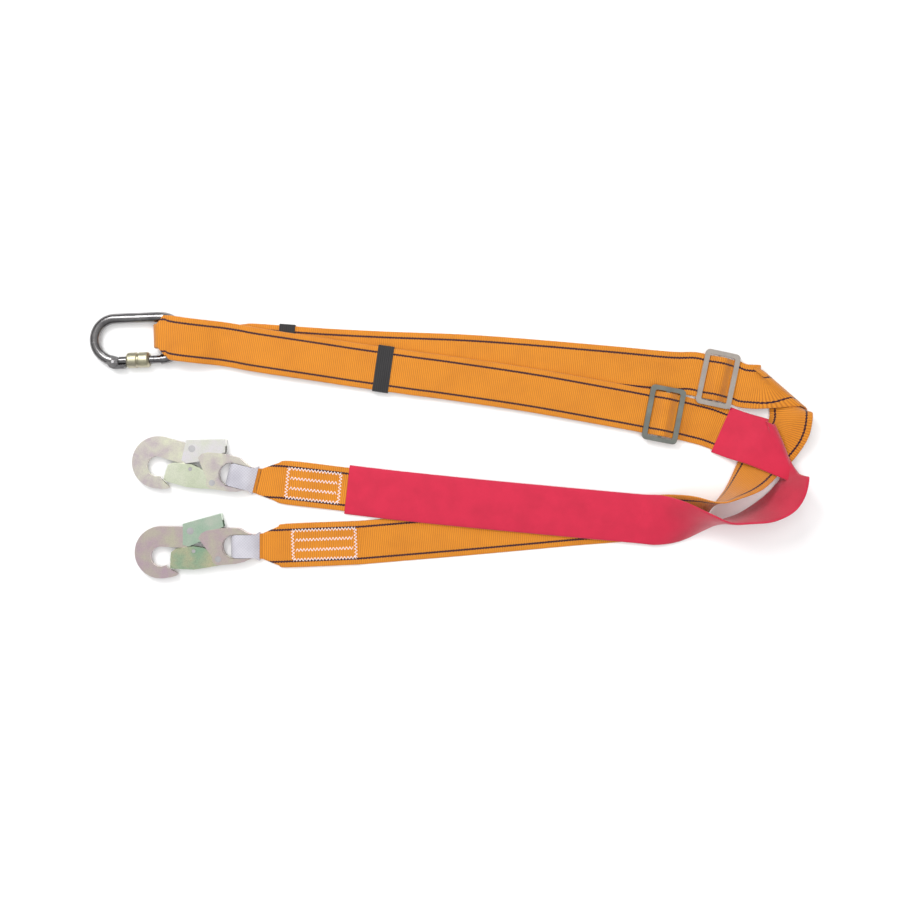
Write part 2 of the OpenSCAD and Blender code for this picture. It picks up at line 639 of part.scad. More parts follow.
module hook_a_body() { hook_body(a_hook, a_hook_h); }
module hook_b_body() { hook_body(b_hook, b_hook_h); }
module hook_a_gate() { hook_gate(a_hook, a_hook_h); }
module hook_b_gate() { hook_gate(b_hook, b_hook_h); }
module hook_a_lever() { hook_lever(a_hook, a_hook_h); }
module hook_b_lever() { hook_lever(b_hook, b_hook_h); }
module hook_a_gate_rivet() { hook_pin(a_hook, a_hook_h, gate_rivet, 2.5, 3.4, hook_t); }
module hook_b_gate_rivet() { hook_pin(b_hook, b_hook_h, gate_rivet, 2.5, 3.4, hook_t); }
module hook_a_lever_rivet() { hook_pin(a_hook, a_hook_h, lever_rivet, 2.5, 3.8, 2 * lever_out + 0.1); }
module hook_b_lever_rivet() { hook_pin(b_hook, b_hook_h, lever_rivet, 2.5, 3.8, 2 * lever_out + 0.1); }
module hook_a_guide_pin() { hook_pin(a_hook, a_hook_h, guide, 2, 2, 2 * gate_out - 0.3); }
module hook_b_guide_pin() { hook_pin(b_hook, b_hook_h, guide, 2, 2, 2 * gate_out - 0.3); }
module hook_a_gate_spring() { hook_spring(a_hook, a_hook_h, [-45, -21.6], 15.6); }
module hook_b_gate_spring() { hook_spring(b_hook, b_hook_h, [-45, -21.6], 15.6); }
module hook_a_lever_spring() { hook_spring(a_hook, a_hook_h, [-40, 21.1], 10.2); }
module hook_b_lever_spring() { hook_spring(b_hook, b_hook_h, [-40, 21.1], 10.2); }

carabiner_body();
carabiner_gate();
gate_pin();
gate_spring();
gate_plunger();
screw_sleeve();
webbing_a_bight();
webbing_a_long_run();
webbing_a_return_run();
webbing_a_bar_loop();
webbing_a_turn();
webbing_a_hook_run();
webbing_a_lap();
webbing_a_eye_loop();
webbing_b_bight();
webbing_b_long_run();
webbing_b_return_run();
webbing_b_bar_loop();
webbing_b_turn();
webbing_b_hook_run();
webbing_b_lap();
webbing_b_eye_loop();
protective_sleeve_turn();
protective_sleeve_run();
slide_a();
slide_b();
keeper_a();
keeper_b();
wear_sleeve_a();
wear_sleeve_b();
box_stitch_a();
box_stitch_b();
hook_a_body();
hook_a_gate();
hook_a_lever();
hook_a_gate_rivet();
hook_a_lever_rivet();
hook_a_guide_pin();
hook_a_gate_spring();
hook_a_lever_spring();
hook_b_body();
hook_b_gate();
hook_b_lever();
hook_b_gate_rivet();
hook_b_lever_rivet();
hook_b_guide_pin();
hook_b_gate_spring();
hook_b_lever_spring();
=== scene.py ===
"""Twin-leg adjustable webbing lanyard with a screw-gate carabiner and two snap hooks.

Metres, in the same frame as the solid model: +X along the laid-out length, +Z up.
"""

import json
import logging
import math
from collections.abc import Callable, Iterable
from dataclasses import dataclass
from enum import Enum

import bmesh
import bpy
from mathutils import Matrix, Vector, noise

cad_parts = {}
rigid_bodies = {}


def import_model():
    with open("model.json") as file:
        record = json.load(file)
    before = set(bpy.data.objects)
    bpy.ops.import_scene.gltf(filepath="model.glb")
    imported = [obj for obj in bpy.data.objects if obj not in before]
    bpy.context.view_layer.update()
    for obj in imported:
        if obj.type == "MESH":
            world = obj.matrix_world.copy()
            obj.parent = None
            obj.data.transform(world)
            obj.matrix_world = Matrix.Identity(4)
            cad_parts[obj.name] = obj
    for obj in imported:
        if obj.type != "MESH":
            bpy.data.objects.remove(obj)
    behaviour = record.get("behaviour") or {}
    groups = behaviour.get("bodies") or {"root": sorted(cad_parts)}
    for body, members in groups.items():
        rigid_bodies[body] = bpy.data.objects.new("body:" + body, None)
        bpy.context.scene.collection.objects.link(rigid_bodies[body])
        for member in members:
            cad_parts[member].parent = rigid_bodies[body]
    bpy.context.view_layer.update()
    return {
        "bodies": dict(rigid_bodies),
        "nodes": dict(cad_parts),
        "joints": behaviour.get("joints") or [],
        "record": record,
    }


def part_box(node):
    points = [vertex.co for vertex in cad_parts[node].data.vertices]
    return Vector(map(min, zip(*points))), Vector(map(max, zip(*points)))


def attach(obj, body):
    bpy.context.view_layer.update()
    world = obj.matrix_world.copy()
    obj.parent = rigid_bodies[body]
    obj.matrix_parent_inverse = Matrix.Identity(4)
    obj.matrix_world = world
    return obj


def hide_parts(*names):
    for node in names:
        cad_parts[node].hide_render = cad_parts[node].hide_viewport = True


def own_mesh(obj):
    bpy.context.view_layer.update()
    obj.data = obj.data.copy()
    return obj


LOG = logging.getLogger("lanyard")
MM = 0.001
SHIFT = Vector((-0.57, -1.41, 0.02)) * MM
WEB_W = 48.0
WEB_T = 1.8
# Heights of the middles of four layers of webbing lying on each other.
Z1, Z2, Z3, Z4 = 0.9, 3.0, 5.1, 7.2
# Where the carabiner lies, in millimetres, and how it is turned and tilted.
CARABINER_AT = Vector((-340, 116, 9.1))
CARABINER_TURN, CARABINER_TILT = math.radians(2), math.radians(-2.1)

Row = tuple[float, ...]
Ring = list[bmesh.types.BMVert]
Profile = list[tuple[float, float, float]]
Rgb = tuple[float, float, float]
Place = tuple[tuple[float, float], float, float]
Sockets = list[tuple[str, str, float | tuple[float, ...] | None]]
Value = bpy.types.NodeSocket | float | tuple[float, ...]


class Leg(Enum):
    """The two legs, named for the slide they run through."""

    A = "a"
    B = "b"


# ---------------------------------------------------------------- routes, in millimetres


def flat(x: float, y: float, z: float, heading: float, width: float = WEB_W) -> Row:
    """A flat row of a ribbon.

    Args:
        x, y, z: the middle of the ribbon.
        heading: where it runs, in degrees.
        width: its full width.
    Returns:
        The middle and the half-width vector, as six numbers.
    """
    h = math.radians(heading)
    return (x, y, z, -math.sin(h) * width / 2, math.cos(h) * width / 2, 0.0)


def rolled(x: float, y: float, low: float, heading: float, roll: float, width: float = WEB_W) -> Row:
    """A row rolled about its heading, with its lower edge at height low.

    Args:
        x, y: the middle of the ribbon.
        low: height of the lower edge.
        heading, roll: in degrees.
        width: its full width.
    Returns:
        The row, as flat() gives it.
    """
    h, r = math.radians(heading), math.radians(roll)
    half = width / 2
    return (
        x, y, low + abs(math.sin(r)) * half,
        -math.sin(h) * math.cos(r) * half, math.cos(h) * math.cos(r) * half, math.sin(r) * half,
    )


def fold(
    p: tuple[float, float], low: float, radius: float, heading: float, line: float,
    angles: Iterable[float], lean: float,
) -> list[Row]:
    """Rows round a diagonal fold.

    Args:
        p: outermost point of the fold.
        low: height of its underside.
        radius: of the fold.
        heading, line: the heading in and the fold line's angle, in degrees.
        angles: where the rows are, in degrees round the fold.
        lean: half the length of the fold line.
    Returns:
        A list of rows.
    """
    f, k = math.radians(line), math.tan(math.radians(heading - line))
    rows = []
    for angle in angles:
        a = math.radians(angle)
        along = math.radians(angle - 90) * radius / k
        out = radius * (math.sin(a) - 1)
        rows.append((
            p[0] + math.cos(f) * along - math.sin(f) * out,
            p[1] + math.sin(f) * along + math.cos(f) * out,
            low + radius * (1 + math.cos(a)),
            -math.cos(f) * lean, -math.sin(f) * lean, 0.0,
        ))
    return rows


def beside(at: tuple[float, float], heading: float, base: float, s: float, c: float) -> Row:
    """A row beside a slide.

    Args:
        at: the slide's centre.
        heading: of the webbing there, in degrees.
        base: height of the leg's own floor.
        s: distance along the webbing from the centre.
        c: height above the floor.
    Returns:
        The row.
    """
    h = math.radians(heading)
    return flat(at[0] + s * math.cos(h), at[1] + s * math.sin(h), base + c, heading)


def over_bar(slide: Place) -> list[Row]:
    """Rows of the upper run under a slide's end bars and over its middle bar.

    Args:
        slide: (centre, heading, base).
    Returns:
        A list of rows.
    """
    heights = ((-30, Z2), (-16, Z2), (-12, Z2 + 0.9), (-4, Z2 + 6.6), (0, Z2 + 7.4),
               (4, Z2 + 6.6), (11, Z2 + 1.2), (14.6, Z2), (17.5, Z2))
    return [beside(*slide, s, c) for s, c in heights]


def to_bar(slide: Place) -> list[Row]:
    """Rows of the return run up to a slide's middle bar.

    Args:
        slide: (centre, heading, base).
    Returns:
        A list of rows.
    """
    return [beside(*slide, s, c) for s, c in ((-30, Z1), (-15, Z1), (-4, Z1 + 2.2))]


SLIDES = {Leg.A: ((235, 35), -11, 4.2), Leg.B: ((295, 74), -12, 0.4)}

LONG_ROWS = {
    Leg.A: [
        flat(-308.6, 120.7, 19, 2, 44), flat(-303, 118.4, 19.4, -2), flat(-288, 116, 20.6, -5),
        flat(-268, 114, 15, -6), flat(-250, 112.4, 8.6, -8), flat(-232, 109.6, 8.4, -10),
        flat(-212, 105.8, 9.7, -10), flat(-146, 95.8, 9.7, -8), flat(-108, 90, 8.3, -8),
        flat(-72, 84.8, 8.3, -8.2), flat(-36, 79.7, 8.3, -8), flat(0, 75, Z4, -7.6),
        flat(90, 61.6, Z4, -9.5), flat(175, 46.4, Z4, -11),
    ] + over_bar(SLIDES[Leg.A]),
    Leg.B: [
        flat(-308.8, 120.7, 16.9, 2, 26), flat(-296, 122, 17.4, 6, 26), flat(-286, 123.5, 17.2, 4, 26),
        flat(-268, 124, 10, -4, 26), flat(-252, 122.8, 3.7, -8, 26), flat(-238, 115.5, 3.5, -8, 36),
        flat(-226, 111.6, 3.9, -5, 46), flat(-212, 110.8, Z2 + 1.3, -4), flat(-146, 106.2, Z2 + 1.3, -4),
        flat(-128, 105.2, Z2, -3), flat(-72, 102.4, Z2, -2.5), flat(34, 98, Z2, -3.5),
        flat(170, 87, Z2, -6), flat(240, 80.5, Z2, -7),
    ] + over_bar(SLIDES[Leg.B]),
}

RETURN_ROWS = {
    Leg.A: [
        flat(-308, 120.7, 1.4, 2, 44), flat(-302, 113, 1.8, -10, 26), flat(-290, 102, 2.6, -14, 14),
        flat(-268, 99, 4.6, -8, 14), flat(-250, 97.6, 5.6, -4, 14), flat(-240, 103, 6.2, 0, 30),
        flat(-228, 108.9, 6.6, -10, 46), flat(-212, 105.8, 7.6, -10), flat(-146, 95.8, 7.6, -8),
        flat(-108, 90, 6.2, -8), flat(-72, 84.8, 6.2, -8.2), flat(-36, 79.7, 6.2, -8),
        flat(0, 75, Z3, -7.6), flat(90, 61.6, Z3, -9.5), flat(175, 46.4, Z3, -11),
    ] + to_bar(SLIDES[Leg.A]),
    Leg.B: [
        flat(-308.4, 120.7, 3.5, 2, 26), flat(-296, 122, 4.2, 6, 26), flat(-286, 123.5, 3.8, 4, 26),
        flat(-268, 124, 1.6, -4, 26), flat(-252, 122.8, 1.2, -8, 26), flat(-238, 115.5, 1.1, -8, 36),
        flat(-226, 111.6, 1.5, -5, 46), flat(-212, 110.8, Z1 + 1.3, -4), flat(-146, 106.2, Z1 + 1.3, -4),
        flat(-128, 105.2, Z1, -3), flat(-72, 102.4, Z1, -2.5), flat(34, 98, Z1, -3.5),
        flat(170, 87, Z1, -6), flat(240, 80.5, Z1, -7),
    ] + to_bar(SLIDES[Leg.B]),
}

LEG_ROWS = {
    Leg.B: [
        beside(*SLIDES[Leg.B], 17.7, Z2), beside(*SLIDES[Leg.B], 21, Z2),
        flat(323, 66.5, 5.5, -12), flat(340, 65, 9.5, -3),
    ] + fold((368, 61.5), 1.4, 6, 0, -41, (0, 45, 90, 135), 31) + [
        rolled(373, 36, 2, -92, -150), rolled(370, 18, 2, -108, -158),
        rolled(361, 3, 2, -126, -172), rolled(345, -13, 2, -133, -168), rolled(327, -33, 2, -140, -135),
        rolled(308, -50, 2.6, -146, -105), rolled(290, -62, 2.6, -152, -85), rolled(268, -70, 2.4, -163, -45),
        rolled(244, -75.5, 1.6, -170, -12), flat(222, -78, 1.8, -173), flat(190, -81, 1.2, -174),
        flat(138, -85, Z1, -175), flat(84, -90, Z1, -175), flat(12, -96.5, Z1, -175),
        flat(-84, -104.6, Z1 + 0.15, -175), flat(-98, -105.6, Z1 + 1.2, -176), flat(-110, -106.2, Z2, -177),
        flat(-178, -108.9, Z2, -178), flat(-188, -109.3, Z2, -179, 42), flat(-204.7, -109.5, Z2, 180, 28),
    ],
    Leg.A: [
        beside(*SLIDES[Leg.A], 17.7, Z2), beside(*SLIDES[Leg.A], 21, Z2 - 0.4),
        flat(268, 28.2, 2.6, -14), flat(284, 24, 2.3, -18), flat(299, 18.5, 2.4, -24),
        flat(317, 11.5, 8.5, -23), flat(337, 4.8, 17, -22),
    ] + fold((369.4, -13.6), 6, 7.5, -22, -67.4, (0, 45, 90), 32) + [
        rolled(373, -31, 4.6, -97, -108, 50), rolled(368, -48, 4.6, -113, -114, 50),
        rolled(358, -61, 4.6, -134, -116, 50), rolled(341, -71, 4.6, -155, -110, 50),
        rolled(319, -78, 4.6, -166, -98, 50), rolled(299, -81.5, 4.6, -175, -90, 50),
        rolled(278, -82.4, 4.6, 180, -68, 50), rolled(254, -82, 4.4, 179, -38, 50),
        rolled(230, -80.6, 5.4, 177, -12, 50), flat(205, -79, 5.2, 176),
        flat(122, -71.4, 4.6, 174.5), flat(32, -63, 4.4, 174), flat(-50, -54.6, 4.4, 173.6),
        flat(-76, -51.6, 4.2, 173.4), flat(-95, -49.4, 2.9, 173.4), flat(-112, -47.3, Z2, 173.4),
        flat(-130, -45.2, Z2, 173.6),
        flat(-178, -39.6, Z2, 174), flat(-192, -38.6, Z2, 172, 40), flat(-209, -38.1, Z2, 166, 28),
    ],
}

LAP_ROWS = {
    Leg.A: [flat(-209, -38.1, Z1, 166, 28), flat(-192, -38.6, Z1, 172, 40),
            flat(-178, -39.6, Z1, 174), flat(-120, -46.4, Z1, 173.6)],
    Leg.B: [flat(-204.7, -109.5, Z1, 180, 28), flat(-188, -109.3, Z1, -179, 42),
            flat(-178, -108.9, Z1, -178), flat(-104, -105.9, Z1, -177)],
}


def smooth(rows: list[Row], steps: int) -> list[Row]:
    """A smooth line of rows through the given ones.

    Args:
        rows: the rows to pass through.
        steps: how many rows come out for each gap.
    Returns:
        A list of rows.
    """
    out = []
    last = len(rows) - 1
    for i in range(last):
        a, b, c, d = rows[max(i - 1, 0)], rows[i], rows[i + 1], rows[min(i + 2, last)]
        for k in range(steps):
            t = k / steps
            out.append(tuple(
                0.5 * (2 * q + (r - p) * t + (2 * p - 5 * q + 4 * r - s) * t * t
                       + (3 * q - p - 3 * r + s) * t ** 3)
                for p, q, r, s in zip(a, b, c, d)
            ))
    out.append(rows[last])
    return out


# ---------------------------------------------------------------- shared mesh helpers


def add_object(
    name: str, bm: bmesh.types.BMesh, material: bpy.types.Material, body: str,
    smooth_angle: float = 35.0,
) -> bpy.types.Object:
    """Makes an object of a mesh, faces outwards, with its finish, riding on its body.

    Args:
        name: the piece's name.
        bm: the bmesh, used up here.
        material: its finish.
        body: the moving body it belongs to.
        smooth_angle: edges sharper than this stay sharp, in degrees.
    Returns:
        The object.
    """
    bmesh.ops.recalc_face_normals(bm, faces=bm.faces)
    mesh = bpy.data.meshes.new(name)
    bm.to_mesh(mesh)
    bm.free()
    mesh.materials.clear()
    mesh.materials.append(material)
    mesh.polygons.foreach_set("material_index", [0] * len(mesh.polygons))
    mesh.shade_smooth()
    mesh.set_sharp_from_angle(angle=math.radians(smooth_angle))
    obj = bpy.data.objects.new(name, mesh)
    bpy.context.scene.collection.objects.link(obj)
    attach(obj, body)
    return obj


def bevelled_copy(
    frame: dict, node: str, material: bpy.types.Material, body: str, width: float,
    segments: int = 2,
) -> bpy.types.Object:
    """A bevelled copy of a solid node that stands for it.

    Args:
        node: the node's name.
        material, body: as in add_object().
        width: of the bevel, in metres.
        segments: of the bevel.
    Returns:
        The new object.
    """
    bm = bmesh.new()
    bm.from_mesh(frame["nodes"][node].data)
    bmesh.ops.remove_doubles(bm, verts=bm.verts, dist=2e-6)
    bmesh.ops.dissolve_limit(
        bm, angle_limit=math.radians(0.8), verts=bm.verts, edges=bm.edges, use_dissolve_boundaries=False
    )
    bm.normal_update()
    sharp = [
        e for e in bm.edges
        if len(e.link_faces) == 2 and e.calc_face_angle(0.0) > math.radians(38) and e.calc_length() > 3e-4
    ]
    if sharp:
        bmesh.ops.bevel(
            bm, geom=sharp, offset=width, offset_type="OFFSET", segments=segments, profile=0.5,
            affect="EDGES", clamp_overlap=True, material=-1,
        )
    bmesh.ops.remove_doubles(bm, verts=bm.verts, dist=1e-6)
    obj = add_object(node + "_piece", bm, material, body)
    weighted = obj.modifiers.new("weighted", "WEIGHTED_NORMAL")
    weighted.keep_sharp = True
    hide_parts(node)
    return obj


def ring_profile(thickness: float, across: int = 8, corner: int = 4) -> Profile:
    """Cross-section of a strap with rounded edges.

    Args:
        thickness: of the strap, in metres.
        across: how many gaps there are across its face.
        corner: how many gaps there are round each edge.
    Returns:
        A list of (share of the half-width, inset, height): a point lies at the share of
        the half-width less the inset.
    """
    half = thickness / 2
    points = []
    for side in (1, -1):
        for k in range(corner + 1):
            a = math.radians(-90 + 180 * k / corner)
            points.append((side, half * (1 - math.cos(a)), side * half * math.sin(a)))
        for k in range(1, across):
            points.append((side * (1 - 2 * k / across), 0.0, side * half))
    return points


def sweep(
    bm: bmesh.types.BMesh, rows: list[Row], profile: Profile, skip_caps: bool = False,
    swell: Callable[[float, float], float] | None = None,
) -> list[Ring]:
    """Sweeps a cross-section along rows, with a map of metres along and across.

    Args:
        bm: the bmesh it is added to.
        rows: rows in millimetres.
        profile: as ring_profile() gives it.
        skip_caps: True leaves both ends open.
        swell: a function of (metres along, share across) giving a factor on the height.
    Returns:
        The rings of vertices.
    """
    uv = bm.loops.layers.uv.get("lay") or bm.loops.layers.uv.new("lay")
    rings, along, travelled, before = [], [], 0.0, None
    for i, row in enumerate(rows):
        middle = Vector(row[:3]) * MM + SHIFT
        side = Vector(row[3:]) * MM
        ahead = Vector(rows[min(i + 1, len(rows) - 1)][:3])
        behind = Vector(rows[max(i - 1, 0)][:3])
        up = (ahead - behind).cross(side).normalized()
        if before is not None:
            travelled += (middle - before).length
        before = middle
        half = side.length
        ring = []
        for share, inset, height in profile:
            offset = share * (half - inset)
            factor = swell(travelled, share) if swell else 1.0
            ring.append(bm.verts.new(middle + side.normalized() * offset + up * height * factor))
        rings.append(ring)
        along.append((travelled, half))
    count = len(profile)
    for i in range(len(rings) - 1):
        for k in range(count):
            j = (k + 1) % count
            face = bm.faces.new((rings[i][k], rings[i][j], rings[i + 1][j], rings[i + 1][k]))
            for loop, (row_at, point_at) in zip(face.loops, ((i, k), (i, j), (i + 1, j), (i + 1, k))):
                share, inset, _ = profile[point_at]
                loop[uv].uv = (along[row_at][0], share * (along[row_at][1] - inset))
    if not skip_caps:
        bm.faces.new(rings[0])
        bm.faces.new(rings[-1])
    return rings


def route_points(rows: list[Row]) -> list[Vector]:
    """The middle line of rows.

    Args:
        rows: rows in millimetres.
    Returns:
        Points in metres, in the shared frame.
    """
    return [Vector(r[:3]) * MM + SHIFT for r in rows]


def route_length(points: list[Vector]) -> float:
    """Length of a line of points.

    Args:
        points: in metres.
    Returns:
        The length, in metres.
    """
    return sum((b - a).length for a, b in zip(points, points[1:]))


# ---------------------------------------------------------------- finishes


def new_group(
    name: str, inputs: Sockets, outputs: Sockets,
) -> tuple[bpy.types.NodeTree, bpy.types.Node, bpy.types.Node]:
    """An empty node group with float and colour sockets.

    Args:
        name: of the group.
        inputs, outputs: (name, socket type, default or None) for each.
    Returns:
        The group and its input and output nodes.
    """
    group = bpy.data.node_groups.new(name, "ShaderNodeTree")
    for in_out, sockets in (("INPUT", inputs), ("OUTPUT", outputs)):
        for socket_name, kind, default in sockets:
            socket = group.interface.new_socket(name=socket_name, in_out=in_out, socket_type=kind)
            if default is not None:
                socket.default_value = default
    return group, group.nodes.new("NodeGroupInput"), group.nodes.new("NodeGroupOutput")


FLOAT, COLOUR, VECTOR = "NodeSocketFloat", "NodeSocketColor", "NodeSocketVector"


def math_node(
    tree: bpy.types.NodeTree, operation: str, a: Value, b: Value | None = None, clamp: bool = False,
) -> bpy.types.NodeSocket:
    """Adds a math node.

    Args:
        tree: node tree.
        operation: the node's operation.
        a, b: sockets or numbers.
        clamp: keep the result between 0 and 1.
    Returns:
        Its output socket.
    """
    node = tree.nodes.new("ShaderNodeMath")
    node.operation = operation
    node.use_clamp = clamp
    for socket, value in zip(node.inputs, (a, b)):
        if value is None:
            continue
        if isinstance(value, (int, float)):
            socket.default_value = value
        else:
            tree.links.new(value, socket)
    return node.outputs[0]


def mix_colour(
    tree: bpy.types.NodeTree, factor: Value, a: Value, b: Value, blend: str = "MIX",
) -> bpy.types.NodeSocket:
    """Adds a colour mix.

    Args:
        tree: node tree.
        factor: a socket or number.
        a, b: sockets or colours.
        blend: the blend type.
    Returns:
        Its output socket.
    """
    node = tree.nodes.new("ShaderNodeMix")
    node.data_type = "RGBA"
    node.blend_type = blend
    for socket, value in ((node.inputs[0], factor), (node.inputs[6], a), (node.inputs[7], b)):
        if isinstance(value, (int, float, tuple)):
            socket.default_value = value
        else:
            tree.links.new(value, socket)
    return node.outputs[2]


def noise_node(
    tree: bpy.types.NodeTree, vector: bpy.types.NodeSocket, scale: float, detail: float = 4.0,
    roughness: float = 0.55,
) -> bpy.types.NodeSocket:
    """Adds a noise texture.

    Args:
        tree: node tree.
        vector: the socket of its coordinates.
        scale, detail, roughness: its settings.
    Returns:
        Its factor socket.
    """
    node = tree.nodes.new("ShaderNodeTexNoise")
    node.inputs["Scale"].default_value = scale
    node.inputs["Detail"].default_value = detail
    node.inputs["Roughness"].default_value = roughness
    tree.links.new(vector, node.inputs["Vector"])
    return node.outputs["Fac"]


def lay_map(tree: bpy.types.NodeTree) -> bpy.types.NodeSocket:
    """The map of metres along and across that sweep() gives a strap.

    Args:
        tree: node tree.
    Returns:
        Its vector socket.
    """
    node = tree.nodes.new("ShaderNodeUVMap")
    node.uv_map = "lay"
    return node.outputs[0]


def wear_group() -> bpy.types.NodeTree:
    """The group that scratches and stains a metal.

    Returns:
        The node group: Vector and Base in, Colour, Roughness and Height out.
    """
    found = bpy.data.node_groups.get("metal_wear")
    if found:
        return found
    group, inp, out = new_group(
        "metal_wear",
        [("Vector", VECTOR, None), ("Base", COLOUR, (0.5, 0.5, 0.5, 1)), ("Tint", COLOUR, (0.5, 0.5, 0.5, 1)),
         ("Roughness", FLOAT, 0.3), ("Wear", FLOAT, 0.3)],
        [("Colour", COLOUR, None), ("Roughness", FLOAT, None), ("Height", FLOAT, None)],
    )
    vector = inp.outputs["Vector"]
    clouds = noise_node(group, vector, 55.0, 3.0)
    clouds = math_node(group, "MULTIPLY_ADD", clouds, 2.6, True)
    clouds.node.inputs[2].default_value = -0.8
    fine = noise_node(group, vector, 900.0, 5.0, 0.7)
    stretch = group.nodes.new("ShaderNodeMapping")
    stretch.inputs["Scale"].default_value = (60.0, 1500.0, 700.0)
    stretch.inputs["Rotation"].default_value = (0.2, 0.1, 0.5)
    group.links.new(vector, stretch.inputs["Vector"])
    scratch = noise_node(group, stretch.outputs["Vector"], 1.0, 2.0)
    scratch = math_node(group, "GREATER_THAN", scratch, 0.71)
    tinted = mix_colour(group, clouds, inp.outputs["Base"], inp.outputs["Tint"])
    dark = math_node(group, "MULTIPLY", math_node(group, "SUBTRACT", fine, 0.42, True), inp.outputs["Wear"])
    dirty = mix_colour(group, math_node(group, "MULTIPLY", dark, 2.0, True), tinted, (0.05, 0.045, 0.04, 1))
    group.links.new(dirty, out.inputs["Colour"])
    rough = math_node(group, "MULTIPLY_ADD", fine, 0.16, True)
    group.links.new(inp.outputs["Roughness"], rough.node.inputs[2])
    rough = math_node(group, "ADD", rough, math_node(group, "MULTIPLY", scratch, 0.15), True)
    group.links.new(rough, out.inputs["Roughness"])
    height = math_node(group, "SUBTRACT", math_node(group, "MULTIPLY", fine, 0.4),
                       math_node(group, "MULTIPLY", scratch, 0.5))
    group.links.new(height, out.inputs["Height"])
    return group


def ribs_group() -> bpy.types.NodeTree:
    """The group that lays cross ribs with painted shade in the grooves between them, and soiling, on a woven
    strap.

    Returns:
        The node group: Vector (metres along, across), Pitch and Base in, Colour and Height out.
    """
    found = bpy.data.node_groups.get("strap_weave")
    if found:
        return found
    group, inp, out = new_group(
        "strap_weave",
        [("Vector", VECTOR, None), ("Base", COLOUR, (0.8, 0.4, 0.1, 1)),
         ("Shade", COLOUR, (0.5, 0.2, 0.02, 1)), ("Pitch", FLOAT, 0.0021), ("Soil", FLOAT, 0.25)],
        [("Colour", COLOUR, None), ("Height", FLOAT, None)],
    )
    split = group.nodes.new("ShaderNodeSeparateXYZ")
    group.links.new(inp.outputs["Vector"], split.inputs[0])
    along, across = split.outputs[0], split.outputs[1]
    wave = math_node(group, "DIVIDE", along, inp.outputs["Pitch"])
    yarn = math_node(group, "SINE", math_node(group, "MULTIPLY", across, 4200.0))
    yarn = math_node(group, "MULTIPLY", yarn, 0.10)
    wave = math_node(group, "ADD", wave, yarn)
    rib = math_node(group, "ABSOLUTE", math_node(group, "SINE", math_node(group, "MULTIPLY", wave, math.pi)))
    height = math_node(group, "POWER", rib, 0.6)
    stain = noise_node(group, inp.outputs["Vector"], 32.0, 4.0)
    stain = math_node(group, "MULTIPLY", math_node(group, "SUBTRACT", stain, 0.42, True), inp.outputs["Soil"])
    fuzz = noise_node(group, inp.outputs["Vector"], 1400.0, 2.0)
    # Painted shade: the colour runs from Shade in the grooves between the ribs to Base on their crests.
    rib_groove_shade = mix_colour(group, height, inp.outputs["Shade"], inp.outputs["Base"])
    soiled = mix_colour(group, math_node(group, "MULTIPLY", stain, 3.0, True), rib_groove_shade, inp.outputs["Shade"])
    glow = math_node(group, "MULTIPLY", fuzz, 0.22)
    lifted = mix_colour(group, glow, soiled, (1.0, 0.72, 0.35, 1), "SOFT_LIGHT")
    group.links.new(lifted, out.inputs["Colour"])
    total = math_node(group, "ADD", height, math_node(group, "MULTIPLY", fuzz, 0.35))
    group.links.new(total, out.inputs["Height"])
    return group


def cloth_group() -> bpy.types.NodeTree:
    """The group for woven cloth: two crossing sets of yarns, and creases that are bumped and darkened with
    painted shade.

    Returns:
        The node group: Vector, Base, Shade and Count in, Colour and Height out.
    """
    found = bpy.data.node_groups.get("plain_cloth")
    if found:
        return found
    group, inp, out = new_group(
        "plain_cloth",
        [("Vector", VECTOR, None), ("Base", COLOUR, (0.6, 0.1, 0.1, 1)),
         ("Shade", COLOUR, (0.3, 0.02, 0.03, 1)), ("Count", FLOAT, 4000.0), ("Crease Shade", FLOAT, 0.5)],
        [("Colour", COLOUR, None), ("Height", FLOAT, None)],
    )
    split = group.nodes.new("ShaderNodeSeparateXYZ")
    group.links.new(inp.outputs["Vector"], split.inputs[0])
    waves = [
        math_node(group, "SINE", math_node(group, "MULTIPLY", split.outputs[k], inp.outputs["Count"]))
        for k in (0, 1)
    ]
    weave = math_node(group, "MULTIPLY", waves[0], waves[1])
    weave = math_node(group, "MULTIPLY_ADD", weave, 0.5)
    weave.node.inputs[2].default_value = 0.5
    # Painted shade: where the crease noise is low the colour is pulled towards Shade, scaled by the strength
    # input; the same noise bumps the creases.
    crease = noise_node(group, inp.outputs["Vector"], 46.0, 3.0, 0.5)
    shade = math_node(group, "SUBTRACT", 0.62, crease, True)
    shade = math_node(group, "MULTIPLY", shade, inp.outputs["Crease Shade"])
    shade = math_node(group, "MULTIPLY", shade, 2.4, True)
    base = mix_colour(group, shade, inp.outputs["Base"], inp.outputs["Shade"])
    cloth = mix_colour(group, math_node(group, "MULTIPLY", weave, 0.35), base, inp.outputs["Shade"])
    group.links.new(cloth, out.inputs["Colour"])
    total = math_node(group, "ADD", math_node(group, "MULTIPLY", weave, 0.5),
                      math_node(group, "MULTIPLY", crease, 2.5))
    group.links.new(total, out.inputs["Height"])
    return group


